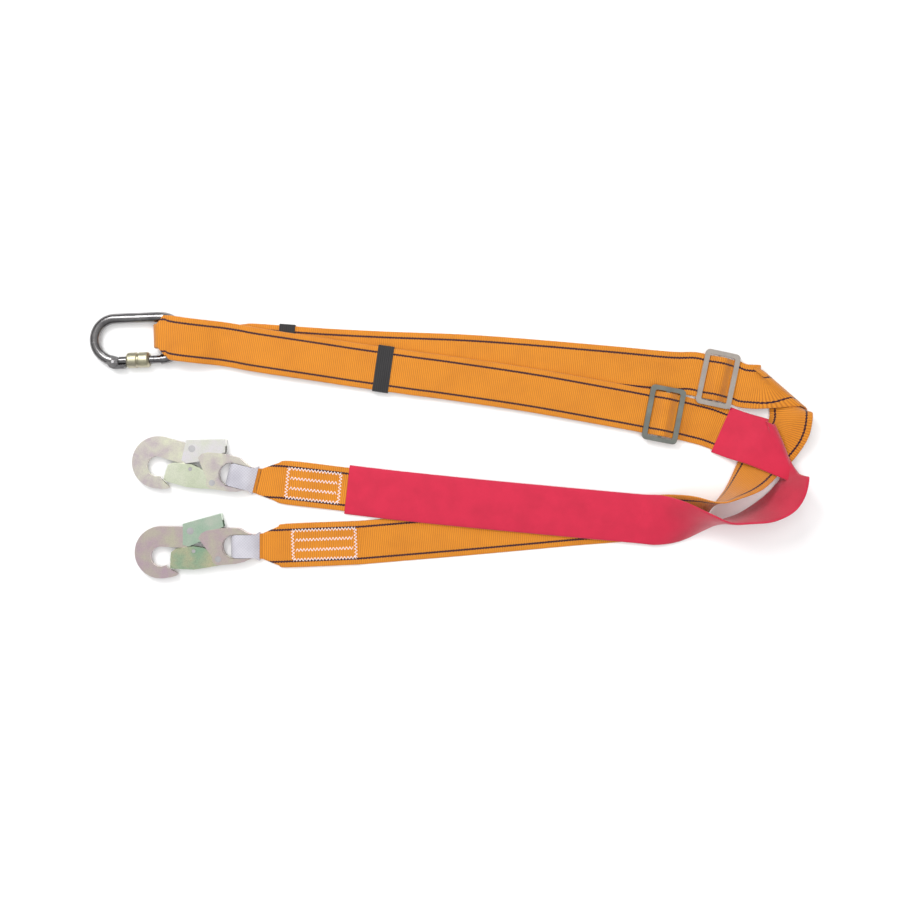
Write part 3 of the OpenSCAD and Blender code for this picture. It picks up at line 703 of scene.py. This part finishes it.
@dataclass(frozen=True)
class Finish:
    """A named surface.

    Args:
        name: of the material.
        base: its colour.
        shade: the darker or second colour.
        roughness: 0 polished to 1 matt.
    """

    name: str
    base: Rgb
    shade: Rgb
    roughness: float = 0.5

    def _start(self) -> tuple[bpy.types.Material, bpy.types.NodeTree, bpy.types.Node]:
        """A new material.

        Returns:
            The material, its tree and its Principled node.
        """
        material = bpy.data.materials.new("finish_" + self.name)
        material.use_nodes = True
        tree = material.node_tree
        shader = next(n for n in tree.nodes if n.type == "BSDF_PRINCIPLED")
        shader.inputs["Roughness"].default_value = self.roughness
        shader.inputs["Base Color"].default_value = (*self.base, 1.0)
        return material, tree, shader

    def _bump(
        self, tree: bpy.types.NodeTree, shader: bpy.types.Node, height: bpy.types.NodeSocket,
        distance: float, strength: float = 1.0,
    ) -> None:
        """Joins a height to the shader's normal.

        Args:
            tree, shader: of the material.
            height: socket.
            distance: in metres.
            strength: 0 to 1.
        """
        bump = tree.nodes.new("ShaderNodeBump")
        bump.inputs["Distance"].default_value = distance
        bump.inputs["Strength"].default_value = strength
        tree.links.new(height, bump.inputs["Height"])
        tree.links.new(bump.outputs["Normal"], shader.inputs["Normal"])

    def material(self) -> bpy.types.Material:
        """Builds the material once.

        Returns:
            The material.
        """
        return bpy.data.materials.get("finish_" + self.name) or self._build()

    def _build(self) -> bpy.types.Material:
        """Builds the plain material.

        Returns:
            The material.
        """
        return self._start()[0]


@dataclass(frozen=True)
class Metal(Finish):
    """Plated or bare steel.

    Args:
        wear: how stained it is, 0 to 1.
    """

    wear: float = 0.3

    def _build(self) -> bpy.types.Material:
        """Builds the metal with its wear.

        Returns:
            The material.
        """
        material, tree, shader = self._start()
        shader.inputs["Metallic"].default_value = 1.0
        coordinates = tree.nodes.new("ShaderNodeTexCoord")
        group = tree.nodes.new("ShaderNodeGroup")
        group.node_tree = wear_group()
        group.inputs["Base"].default_value = (*self.base, 1.0)
        group.inputs["Tint"].default_value = (*self.shade, 1.0)
        group.inputs["Roughness"].default_value = self.roughness
        group.inputs["Wear"].default_value = self.wear
        tree.links.new(coordinates.outputs["Object"], group.inputs["Vector"])
        tree.links.new(group.outputs["Colour"], shader.inputs["Base Color"])
        tree.links.new(group.outputs["Roughness"], shader.inputs["Roughness"])
        self._bump(tree, shader, group.outputs["Height"], 0.00004)
        return material


@dataclass(frozen=True)
class Strap(Finish):
    """Ribbed webbing with painted shade between the ribs, and an optional tracer line near each edge.

    Args:
        pitch: of the ribs, in metres.
        tracer: colour of the tracer lines, or None.
        tracer_at: distance of each line from the middle, in metres.
        own_map: True for the strap's own map, False for object coordinates.
        turn: rotation of the object coordinates, in degrees.
    """

    pitch: float = 0.0021
    tracer: Rgb | None = None
    tracer_at: float = 0.0174
    own_map: bool = True
    turn: float = 0.0

    def _build(self) -> bpy.types.Material:
        """Builds the strap cloth with its ribs and the painted shade between them.

        Returns:
            The material.
        """
        material, tree, shader = self._start()
        vector = lay_map(tree)
        if not self.own_map:
            coordinates = tree.nodes.new("ShaderNodeTexCoord")
            mapping = tree.nodes.new("ShaderNodeMapping")
            mapping.inputs["Rotation"].default_value = (0.0, 0.0, math.radians(-self.turn))
            tree.links.new(coordinates.outputs["Object"], mapping.inputs["Vector"])
            vector = mapping.outputs["Vector"]
        group = tree.nodes.new("ShaderNodeGroup")
        group.node_tree = ribs_group()
        group.inputs["Base"].default_value = (*self.base, 1.0)
        group.inputs["Shade"].default_value = (*self.shade, 1.0)
        group.inputs["Pitch"].default_value = self.pitch
        tree.links.new(vector, group.inputs["Vector"])
        colour = group.outputs["Colour"]
        if self.tracer:
            split = tree.nodes.new("ShaderNodeSeparateXYZ")
            tree.links.new(vector, split.inputs[0])
            off = math_node(tree, "ABSOLUTE", math_node(
                tree, "SUBTRACT", math_node(tree, "ABSOLUTE", split.outputs[1]), self.tracer_at))
            slant = math_node(tree, "ADD", math_node(tree, "MULTIPLY", split.outputs[0], 2100.0),
                              math_node(tree, "MULTIPLY", split.outputs[1], 2400.0))
            width = math_node(tree, "MULTIPLY_ADD", math_node(tree, "SINE", slant), 0.00035)
            width.node.inputs[2].default_value = 0.00105
            line = math_node(tree, "LESS_THAN", off, width)
            colour = mix_colour(tree, line, colour, (*self.tracer, 1.0))
        tree.links.new(colour, shader.inputs["Base Color"])
        shader.inputs["Sheen Weight"].default_value = 0.25
        self._bump(tree, shader, group.outputs["Height"], 0.00035, 0.9)
        return material


@dataclass(frozen=True)
class Cloth(Finish):
    """Plain woven cloth.

    Args:
        count: yarns, in radians a metre.
        crease: how strong the painted shade in its creases is.
        own_map: True for the piece's own map.
    """

    count: float = 4200.0
    crease: float = 0.6
    own_map: bool = True

    def _build(self) -> bpy.types.Material:
        """Builds the cloth.

        Returns:
            The material.
        """
        material, tree, shader = self._start()
        if self.own_map:
            vector = lay_map(tree)
        else:
            vector = tree.nodes.new("ShaderNodeTexCoord").outputs["Object"]
        group = tree.nodes.new("ShaderNodeGroup")
        group.node_tree = cloth_group()
        group.inputs["Base"].default_value = (*self.base, 1.0)
        group.inputs["Shade"].default_value = (*self.shade, 1.0)
        group.inputs["Count"].default_value = self.count
        group.inputs["Crease Shade"].default_value = self.crease
        tree.links.new(vector, group.inputs["Vector"])
        tree.links.new(group.outputs["Colour"], shader.inputs["Base Color"])
        shader.inputs["Sheen Weight"].default_value = 0.3
        self._bump(tree, shader, group.outputs["Height"], 0.0003, 0.8)
        return material


# The shade colours of the straps and cloths are painted shade, between the webbing's ribs and in the cloths'
# creases; they also colour the webbing's soiling and the cloths' weave.
WEBBING = Strap("webbing", (0.67, 0.24, 0.010), (0.32, 0.09, 0.004), 0.72, tracer=(0.03, 0.004, 0.012))
WEBBING_PLAIN = Strap("webbing_plain", (0.67, 0.24, 0.010), (0.32, 0.09, 0.004), 0.72, own_map=False)
GUARD = Cloth("sleeve_cloth", (0.60, 0.014, 0.055), (0.34, 0.006, 0.028), 0.78, crease=0.36)
WEAR_CLOTH = Cloth("wear_cloth", (0.58, 0.57, 0.62), (0.20, 0.19, 0.24), 0.75, 1900.0, 0.4, False)
THREAD = Finish("thread", (0.88, 0.78, 0.80), (0.5, 0.4, 0.4), 0.7)
ELASTIC = {
    Leg.A: Strap("elastic_a", (0.030, 0.030, 0.034), (0.006, 0.006, 0.007), 0.8, 0.0022,
                 own_map=False, turn=-8.2),
    Leg.B: Strap("elastic_b", (0.030, 0.030, 0.034), (0.006, 0.006, 0.007), 0.8, 0.0022,
                 own_map=False, turn=-4.0),
}
DARK_STEEL = Metal("dark_steel", (0.30, 0.29, 0.29), (0.16, 0.155, 0.16), 0.16, 0.15)
SCREW_ZINC = Metal("screw_zinc", (0.60, 0.58, 0.40), (0.50, 0.46, 0.36), 0.32, 0.3)
PIN_STEEL = Metal("pin_steel", (0.66, 0.65, 0.66), (0.50, 0.48, 0.50), 0.28, 0.2)
HOOK_ZINC = {
    Leg.A: Metal("hook_zinc_a", (0.86, 0.86, 0.68), (0.66, 0.56, 0.60), 0.24, 0.3),
    Leg.B: Metal("hook_zinc_b", (0.66, 0.50, 0.57), (0.70, 0.66, 0.52), 0.24, 0.3),
}
GATE_ZINC = {
    Leg.A: Metal("gate_zinc_a", (0.86, 0.90, 0.72), (0.66, 0.74, 0.52), 0.24, 0.3),
    Leg.B: Metal("gate_zinc_b", (0.38, 0.58, 0.40), (0.70, 0.66, 0.44), 0.24, 0.45),
}
LEVER_ZINC = {
    Leg.A: Metal("lever_zinc_a", (0.90, 0.86, 0.90), (0.82, 0.84, 0.72), 0.24, 0.25),
    Leg.B: Metal("lever_zinc_b", (0.46, 0.66, 0.50), (0.66, 0.74, 0.62), 0.24, 0.35),
}
SLIDE_STEEL = {
    Leg.A: Metal("slide_a_steel", (0.34, 0.36, 0.32), (0.26, 0.27, 0.25), 0.34, 0.25),
    Leg.B: Metal("slide_b_steel", (0.66, 0.60, 0.54), (0.56, 0.50, 0.46), 0.34, 0.25),
}


# ---------------------------------------------------------------- the webbing


@dataclass
class WebbingLeg:
    """One leg: its run to the slide, its return and its outer part to the hook.

    Args:
        leg: which one.
        steps: rows for each gap of the route.
    """

    leg: Leg
    steps: int = 8

    def _strap(self, name: str, rows: list[Row]) -> bpy.types.Object:
        """Sweeps a strap.

        Args:
            name: of the piece.
            rows: in millimetres.
        Returns:
            The object.
        """
        bm = bmesh.new()
        sweep(bm, rows, ring_profile(WEB_T * MM))
        return add_object(name, bm, WEBBING.material(), "webbing_set", 50)

    def build(self, frame: dict, extra: tuple[bpy.types.Object, ...]) -> list[bpy.types.Object]:
        """Args:
            extra: pieces meant to go with the outer part; not used.
        Returns:
            The pieces made.
        """
        letter = self.leg.value
        made = []
        for part, rows, nodes, pieces in (
            ("outer", LEG_ROWS[self.leg], ("turn", "hook_run"), extra),
            ("long", LONG_ROWS[self.leg], ("bight", "long_run"), ()),
            ("return", RETURN_ROWS[self.leg], ("return_run",), ()),
        ):
            line = smooth(rows, self.steps)
            if part == "long":
                line = self._bight_rows() + line
            strap = self._strap(f"webbing_{letter}_{part}_strap", line)
            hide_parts(*[f"webbing_{letter}_{n}" for n in nodes])
            made.append(strap)
        lap = self._strap(f"webbing_{letter}_lap_strap", smooth(LAP_ROWS[self.leg], 6))
        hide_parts(f"webbing_{letter}_lap")
        made.append(lap)
        plain = WEBBING_PLAIN.material()
        for node in (f"webbing_{letter}_bar_loop", f"webbing_{letter}_eye_loop"):
            made.append(bevelled_copy(frame, node, plain, "webbing_set", 0.0005))
        return made

    def _bight_rows(self) -> list[Row]:
        """Rows of the turn inside the carabiner's end, from below to above.

        Returns:
            A list of rows.
        """
        outer = self.leg is Leg.A
        radius = 8.8 if outer else 6.7
        full = 44.0 if outer else 26.0
        rows = []
        samples = [(30.4 - x, -radius) for x in (0.0, 1.1, 2.2, 3.3)]
        samples += [(27.1 - radius * math.sin(math.radians(a)), -radius * math.cos(math.radians(a)))
                    for a in range(12, 180, 12)]
        samples += [(30.4 - x, radius) for x in (3.3, 2.2, 1.1, 0.0)]
        place = Matrix.Rotation(CARABINER_TURN, 3, "Z") @ Matrix.Rotation(CARABINER_TILT, 3, "Y")
        for x, z in samples:
            width = 26.0 + (full - 26.0) * min(max((x - 23) / 7.4, 0.0), 1.0)
            middle = place @ Vector((x, 3.65, z)) + CARABINER_AT
            side = place @ Vector((0, width / 2, 0))
            rows.append((*middle, *side))
        return rows


@dataclass
class ProtectiveSleeve:
    """The cloth tube round leg A, creased where it bends.

    Args:
        width: in millimetres.
        wall: thickness of the cloth, in metres.
        steps: rows for each gap of the route.
    """

    width: float = 54.0
    wall: float = 0.0007
    steps: int = 8

    def build(self) -> bpy.types.Object:
        """Builds the tube.

        Returns:
            The object.
        """
        line = smooth(LEG_ROWS[Leg.A], self.steps)
        first, last = 4 * self.steps, len(line) - 1 - 4 * self.steps
        rows = []
        for i in range(first, last + 1):
            x, y, z, hx, hy, hz = line[i]
            size = math.sqrt(hx * hx + hy * hy + hz * hz)
            k = self.width / 2 / size * (size / 24.0 if size > 24.0 else 1.0)
            rows.append((x, y, z, hx * k, hy * k, hz * k))
        outer, inner = [], []
        count = 44
        for i in range(count):
            a = 2 * math.pi * i / count
            share = math.copysign(abs(math.cos(a)) ** 0.75, math.cos(a))
            outer.append((share, 0.0, 0.0023 * math.copysign(abs(math.sin(a)) ** 0.7, math.sin(a))))
            inner.append((share, self.wall, 0.0016 * math.copysign(abs(math.sin(a)) ** 0.7, math.sin(a))))

        def swell(along: float, share: float) -> float:
            """Creases across the tube.

            Args:
                along: metres along it.
                share: place across it.
            Returns:
                A factor on its height.
            """
            n = noise.noise(Vector((along * 38.0, share * 1.3, 4.0)))
            m = noise.noise(Vector((along * 9.0, share * 2.1, 9.0)))
            return 1.0 + 0.26 * n + 0.16 * m

        bm = bmesh.new()
        out_rings = sweep(bm, rows, outer, skip_caps=True, swell=swell)
        in_rings = sweep(bm, rows, inner, skip_caps=True)
        for ends in ((out_rings[0], in_rings[0]), (out_rings[-1], in_rings[-1])):
            for k in range(count):
                j = (k + 1) % count
                bm.faces.new((ends[0][k], ends[0][j], ends[1][j], ends[1][k]))
        obj = add_object("protective_sleeve_cloth", bm, GUARD.material(), "webbing_set", 60)
        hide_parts("protective_sleeve_turn", "protective_sleeve_run")
        LOG.info("protective sleeve, %.3f m long", route_length(route_points(rows)))
        return obj


@dataclass
class BoxStitch:
    """A box of zigzag stitching.

    Args:
        leg: which one.
        centre: in millimetres.
        heading: in degrees.
        length, width: of the box, in millimetres.
        amplitude: of the zigzag, in millimetres.
        stitch: length of one stitch along the line, in millimetres.
        thread: its thickness, in millimetres.
    """

    leg: Leg
    centre: tuple[float, float]
    heading: float
    length: float
    width: float = 34.0
    amplitude: float = 1.7
    stitch: float = 1.8
    thread: float = 0.36

    def _line(self, bm: bmesh.types.BMesh, start: tuple[float, float], end: tuple[float, float]) -> None:
        """Adds one zigzag line.

        Args:
            bm: the bmesh it is added to.
            start, end: points of the box, in millimetres.
        """
        a, b = Vector(start), Vector(end)
        direction = (b - a).normalized()
        across = Vector((-direction.y, direction.x))
        count = max(int((b - a).length / self.stitch), 2)
        at = [
            a + (b - a) * (i / count) + across * self.amplitude * (1 if i % 2 else -1)
            for i in range(count + 1)
        ]
        turn = Matrix.Rotation(math.radians(self.heading), 2)
        for p, q in zip(at, at[1:]):
            p, q = turn @ p + Vector(self.centre), turn @ q + Vector(self.centre)
            line = q - p
            place = Matrix.Translation(Vector((*((p + q) / 2), Z2 + WEB_T / 2 + 0.12)) * MM + SHIFT)
            place = place @ Matrix.Rotation(math.atan2(line.y, line.x), 4, "Z")
            place = place @ Matrix.Rotation(math.pi / 2, 4, "Y")
            size = (self.thread * MM * 0.8, self.thread * MM * 1.1, line.length * MM * 0.56, 1)
            place = place @ Matrix.Diagonal(size)
            bmesh.ops.create_uvsphere(bm, u_segments=8, v_segments=6, radius=1.0, matrix=place)

    def build(self) -> bpy.types.Object:
        """Builds the stitches.

        Returns:
            The object.
        """
        x, y = self.length / 2 - 1, self.width / 2 - 1
        bm = bmesh.new()
        for start, end in (((-x, -y), (x, -y)), ((x, -y), (x, y)), ((x, y), (-x, y)), ((-x, y), (-x, -y)),
                           ((-x + 3, -5.5), (x - 3, -5.5)), ((-x + 3, 5.5), (x - 3, 5.5))):
            self._line(bm, start, end)
        name = f"box_stitch_{self.leg.value}"
        obj = add_object(name + "_threads", bm, THREAD.material(), "webbing_set", 180)
        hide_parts(name)
        LOG.info("box stitch %s", self.leg.value)
        return obj


# ---------------------------------------------------------------- metal parts


@dataclass
class Carabiner:
    """The oval carabiner with its gate and screw sleeve.

    Args:
        screw_r: radius of the screw sleeve, in millimetres.
        screw_l: its length.
        bore: its bore's radius.
        around: how many points there are round it.
    """

    screw_r: float = 8.5
    screw_l: float = 25.0
    bore: float = 4.7
    around: int = 160

    def _profile(self) -> list[tuple[float, float, int]]:
        """Outline of the screw sleeve with its two knurled bands.

        Returns:
            A list of (radius, distance along, knurl share).
        """
        r, half = self.screw_r, self.screw_l / 2
        points = [(self.bore, 0.0, 0), (r - 1.6, 0.0, 0), (r - 0.9, 0.7, 0), (r, 1.8, 0)]
        points += [(r, 2.0 + k * (half - 3.6) / 16, 1) for k in range(17)]
        points += [(r, half - 1.4, 0), (r - 1, half - 0.6, 0), (r - 1, half + 0.6, 0), (r, half + 1.4, 0)]
        points += [(r, half + 1.6 + k * (half - 3.6) / 16, 1) for k in range(17)]
        points += [(r, 2 * half - 1.8, 0), (r - 0.9, 2 * half - 0.7, 0), (r - 1.6, 2 * half, 0)]
        points.append((self.bore, 2 * half, 0))
        return points

    def _screw(self) -> bpy.types.Object:
        """The knurled sleeve.

        Returns:
            The object.
        """
        place = (Matrix.Translation(CARABINER_AT * MM + SHIFT)
                 @ Matrix.Rotation(CARABINER_TURN, 4, "Z") @ Matrix.Rotation(CARABINER_TILT, 4, "Y"))
        bm = bmesh.new()
        profile = self._profile()
        rings = []
        for radius, along, knurl in profile:
            ring = []
            for k in range(self.around):
                a = 2 * math.pi * k / self.around
                deep = 0.0
                if knurl:
                    one = math.sin(20 * a + along * 2.4)
                    two = math.sin(20 * a - along * 2.4)
                    deep = 0.30 * (1 - max(0.0, 0.5 + 0.5 * one * two))
                depth = radius - deep
                at = Vector((-12.9 + along, -21.45 + depth * math.cos(a), depth * math.sin(a)))
                ring.append(bm.verts.new(place @ (at * MM)))
            rings.append(ring)
        for i in range(len(rings)):
            nxt = rings[(i + 1) % len(rings)]
            for k in range(self.around):
                j = (k + 1) % self.around
                bm.faces.new((rings[i][k], rings[i][j], nxt[j], nxt[k]))
        zinc = SCREW_ZINC.material()
        obj = add_object("screw_sleeve_knurled", bm, zinc, "carabiner_screw", 40)
        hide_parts("screw_sleeve")
        return obj

    def build(self, frame: dict) -> None:
        """Builds the carabiner's pieces.
        """
        dark = DARK_STEEL.material()
        bevelled_copy(frame, "carabiner_body", dark, "carabiner", 0.0005)
        bevelled_copy(frame, "carabiner_gate", dark, "carabiner_gate_arm", 0.0004)
        bevelled_copy(frame, "gate_pin", PIN_STEEL.material(), "carabiner", 0.0003)
        for node in ("gate_plunger", "gate_spring"):
            bevelled_copy(frame, node, PIN_STEEL.material(), "carabiner_gate_arm", 0.0002)
        self._screw()
        LOG.info("carabiner with its gate and screw sleeve")


def coil(
    name: str, node: str, body: str, turns: int, wire: float,
) -> bpy.types.Object:
    """A coil spring in the place of a solid tube that lies along Y or nearly so.

    Args:
        name: of the piece.
        node: the tube it replaces.
        body: the moving body it belongs to.
        turns: how many.
        wire: radius of the wire, in metres.
    Returns:
        The object.
    """
    low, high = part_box(node)
    leg_turn = math.radians(-14 if "_a_" in node else 0)
    axis = Vector((-math.sin(leg_turn), math.cos(leg_turn), 0))
    centre = (low + high) / 2
    radius = (high.z - low.z) / 2 - wire
    length = ((high.y - low.y) - 2 * radius * abs(math.sin(leg_turn))) / math.cos(leg_turn) - 2.5 * wire
    side, up = axis.cross(Vector((0, 0, 1))), Vector((0, 0, 1))
    bm = bmesh.new()
    count, round_count, rings = turns * 20, 8, []
    for i in range(count + 1):
        t = i / count
        a = 2 * math.pi * turns * t
        out = side * math.cos(a) + up * math.sin(a)
        middle = centre + axis * (t - 0.5) * length + out * radius
        rings.append([
            bm.verts.new(middle + (out * math.cos(b) + axis * math.sin(b)) * wire)
            for b in (2 * math.pi * k / round_count for k in range(round_count))
        ])
    for one, two in zip(rings, rings[1:]):
        for k in range(round_count):
            j = (k + 1) % round_count
            bm.faces.new((one[k], one[j], two[j], two[k]))
    bm.faces.new(rings[0])
    bm.faces.new(rings[-1])
    obj = add_object(name, bm, PIN_STEEL.material(), body, 60)
    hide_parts(node)
    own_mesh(obj)
    return obj


@dataclass
class SnapHook:
    """One double-action hook.

    Args:
        leg: which leg it ends.
    """

    leg: Leg

    def build(self, frame: dict) -> None:
        """Builds the hook's pieces.
        """
        n = f"hook_{self.leg.value}"
        zinc, gate = HOOK_ZINC[self.leg].material(), GATE_ZINC[self.leg].material()
        lever = LEVER_ZINC[self.leg].material()
        bevelled_copy(frame, f"{n}_body", zinc, n, 0.0007, 3)
        bevelled_copy(frame, f"{n}_gate", gate, f"{n}_gate_part", 0.00025)
        bevelled_copy(frame, f"{n}_lever", lever, f"{n}_lever_part", 0.00018)
        pins = PIN_STEEL.material()
        for part, body in (("gate_rivet", n), ("lever_rivet", n), ("guide_pin", f"{n}_gate_part")):
            bevelled_copy(frame, f"{n}_{part}", pins, body, 0.00008, 2)
        coil(f"{n}_gate_coil", f"{n}_gate_spring", n, 8, 0.0004)
        coil(f"{n}_lever_coil", f"{n}_lever_spring", n, 6, 0.0004)
        bevelled_copy(frame, f"wear_sleeve_{self.leg.value}", WEAR_CLOTH.material(),
                      "webbing_set", 0.00015, 2)
        LOG.info("snap hook %s with its gate, lever, springs and wear sleeve", self.leg.value)


@dataclass
class Slide:
    """One adjusting slide.

    Args:
        leg: which leg it is on.
    """

    leg: Leg

    def build(self, frame: dict) -> None:
        """Builds the slide.
        """
        node = f"slide_{self.leg.value}"
        steel = SLIDE_STEEL[self.leg].material()
        bevelled_copy(frame, node, steel, "webbing_set", 0.0008, 3)
        LOG.info("slide %s", self.leg.value)


@dataclass
class Keeper:
    """An elastic band round both runs of a leg.

    Args:
        leg: which leg it is on.
    """

    leg: Leg

    def build(self, frame: dict) -> None:
        """Builds the keeper.
        """
        node = f"keeper_{self.leg.value}"
        bevelled_copy(frame, node, ELASTIC[self.leg].material(), f"{node}_band", 0.00035, 3)
        LOG.info("keeper %s", self.leg.value)


# ---------------------------------------------------------------- studio


@dataclass
class Studio:
    """Camera, lights and floor.

    Args:
        height: of the camera, in metres.
        lens: in millimetres.
        look: where on the table the camera stands over, in metres.
    """

    height: float = 1.5
    lens: float = 54.5
    look: tuple[float, float] = (0.0005, -0.0053)

    def camera(self) -> bpy.types.Object:
        """Sets the scene's camera.

        Returns:
            The camera object.
        """
        data = bpy.data.cameras.new("camera")
        data.lens = self.lens
        data.sensor_width = 36.0
        data.clip_start = 0.01
        obj = bpy.data.objects.new("camera", data)
        obj.location = (*self.look, self.height)
        bpy.context.scene.collection.objects.link(obj)
        bpy.context.scene.camera = obj
        return obj

    def lights(self) -> None:
        """Adds the soft lights and the floor."""
        scene = bpy.context.scene
        scene.view_settings.view_transform = "Standard"
        world = bpy.data.worlds.new("studio")
        world.use_nodes = True
        tree = world.node_tree
        background = next(n for n in tree.nodes if n.type == "BACKGROUND")
        split = tree.nodes.new("ShaderNodeSeparateXYZ")
        tree.links.new(tree.nodes.new("ShaderNodeTexCoord").outputs["Generated"], split.inputs[0])
        height = math_node(tree, "POWER", math_node(tree, "ABSOLUTE", split.outputs[2]), 0.8, True)
        sky = mix_colour(tree, height, (0.06, 0.06, 0.065, 1.0), (1.0, 1.0, 1.0, 1.0))
        tree.links.new(sky, background.inputs["Color"])
        background.inputs["Strength"].default_value = 0.7
        scene.world = world
        for name, where, size, power in (
            ("key", (-0.7, 0.9, 1.5), 0.7, 16.0), ("over", (0.1, -0.2, 2.6), 2.6, 44.0),
            ("strip", (0.0, 1.3, 0.7), 0.5, 3.0),
        ):
            data = bpy.data.lights.new(name, "AREA")
            data.size = size
            data.energy = power
            obj = bpy.data.objects.new(name, data)
            obj.location = where
            obj.rotation_euler = (-Vector(where)).to_track_quat("-Z", "Y").to_euler()
            obj.visible_glossy = name != "over"
            scene.collection.objects.link(obj)
        mesh = bpy.data.meshes.new("floor")
        reach = 9.0
        mesh.from_pydata([(-reach, -reach, -0.0002), (reach, -reach, -0.0002), (reach, reach, -0.0002),
                          (-reach, reach, -0.0002)], [], [(0, 1, 2, 3)])
        floor = bpy.data.objects.new("floor", mesh)
        mesh.materials.append(Finish("floor", (0.93, 0.93, 0.93), (0.9, 0.9, 0.9), 0.9).material())
        scene.collection.objects.link(floor)


def main() -> None:
    """Builds the lanyard piece by piece."""
    logging.basicConfig(level=logging.INFO, format="%(message)s")
    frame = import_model()
    studio = Studio()
    studio.camera()
    sleeve = ProtectiveSleeve().build()
    WebbingLeg(Leg.A).build(frame, (sleeve,))
    WebbingLeg(Leg.B).build(frame, ())
    BoxStitch(Leg.A, (-149, -43), -6.2, 60).build()
    BoxStitch(Leg.B, (-137, -107.2), 2.2, 71).build()
    for leg in Leg:
        Slide(leg).build(frame)
        Keeper(leg).build(frame)
        SnapHook(leg).build(frame)
    Carabiner().build(frame)
    studio.lights()


if __name__ == "__main__":
    main()
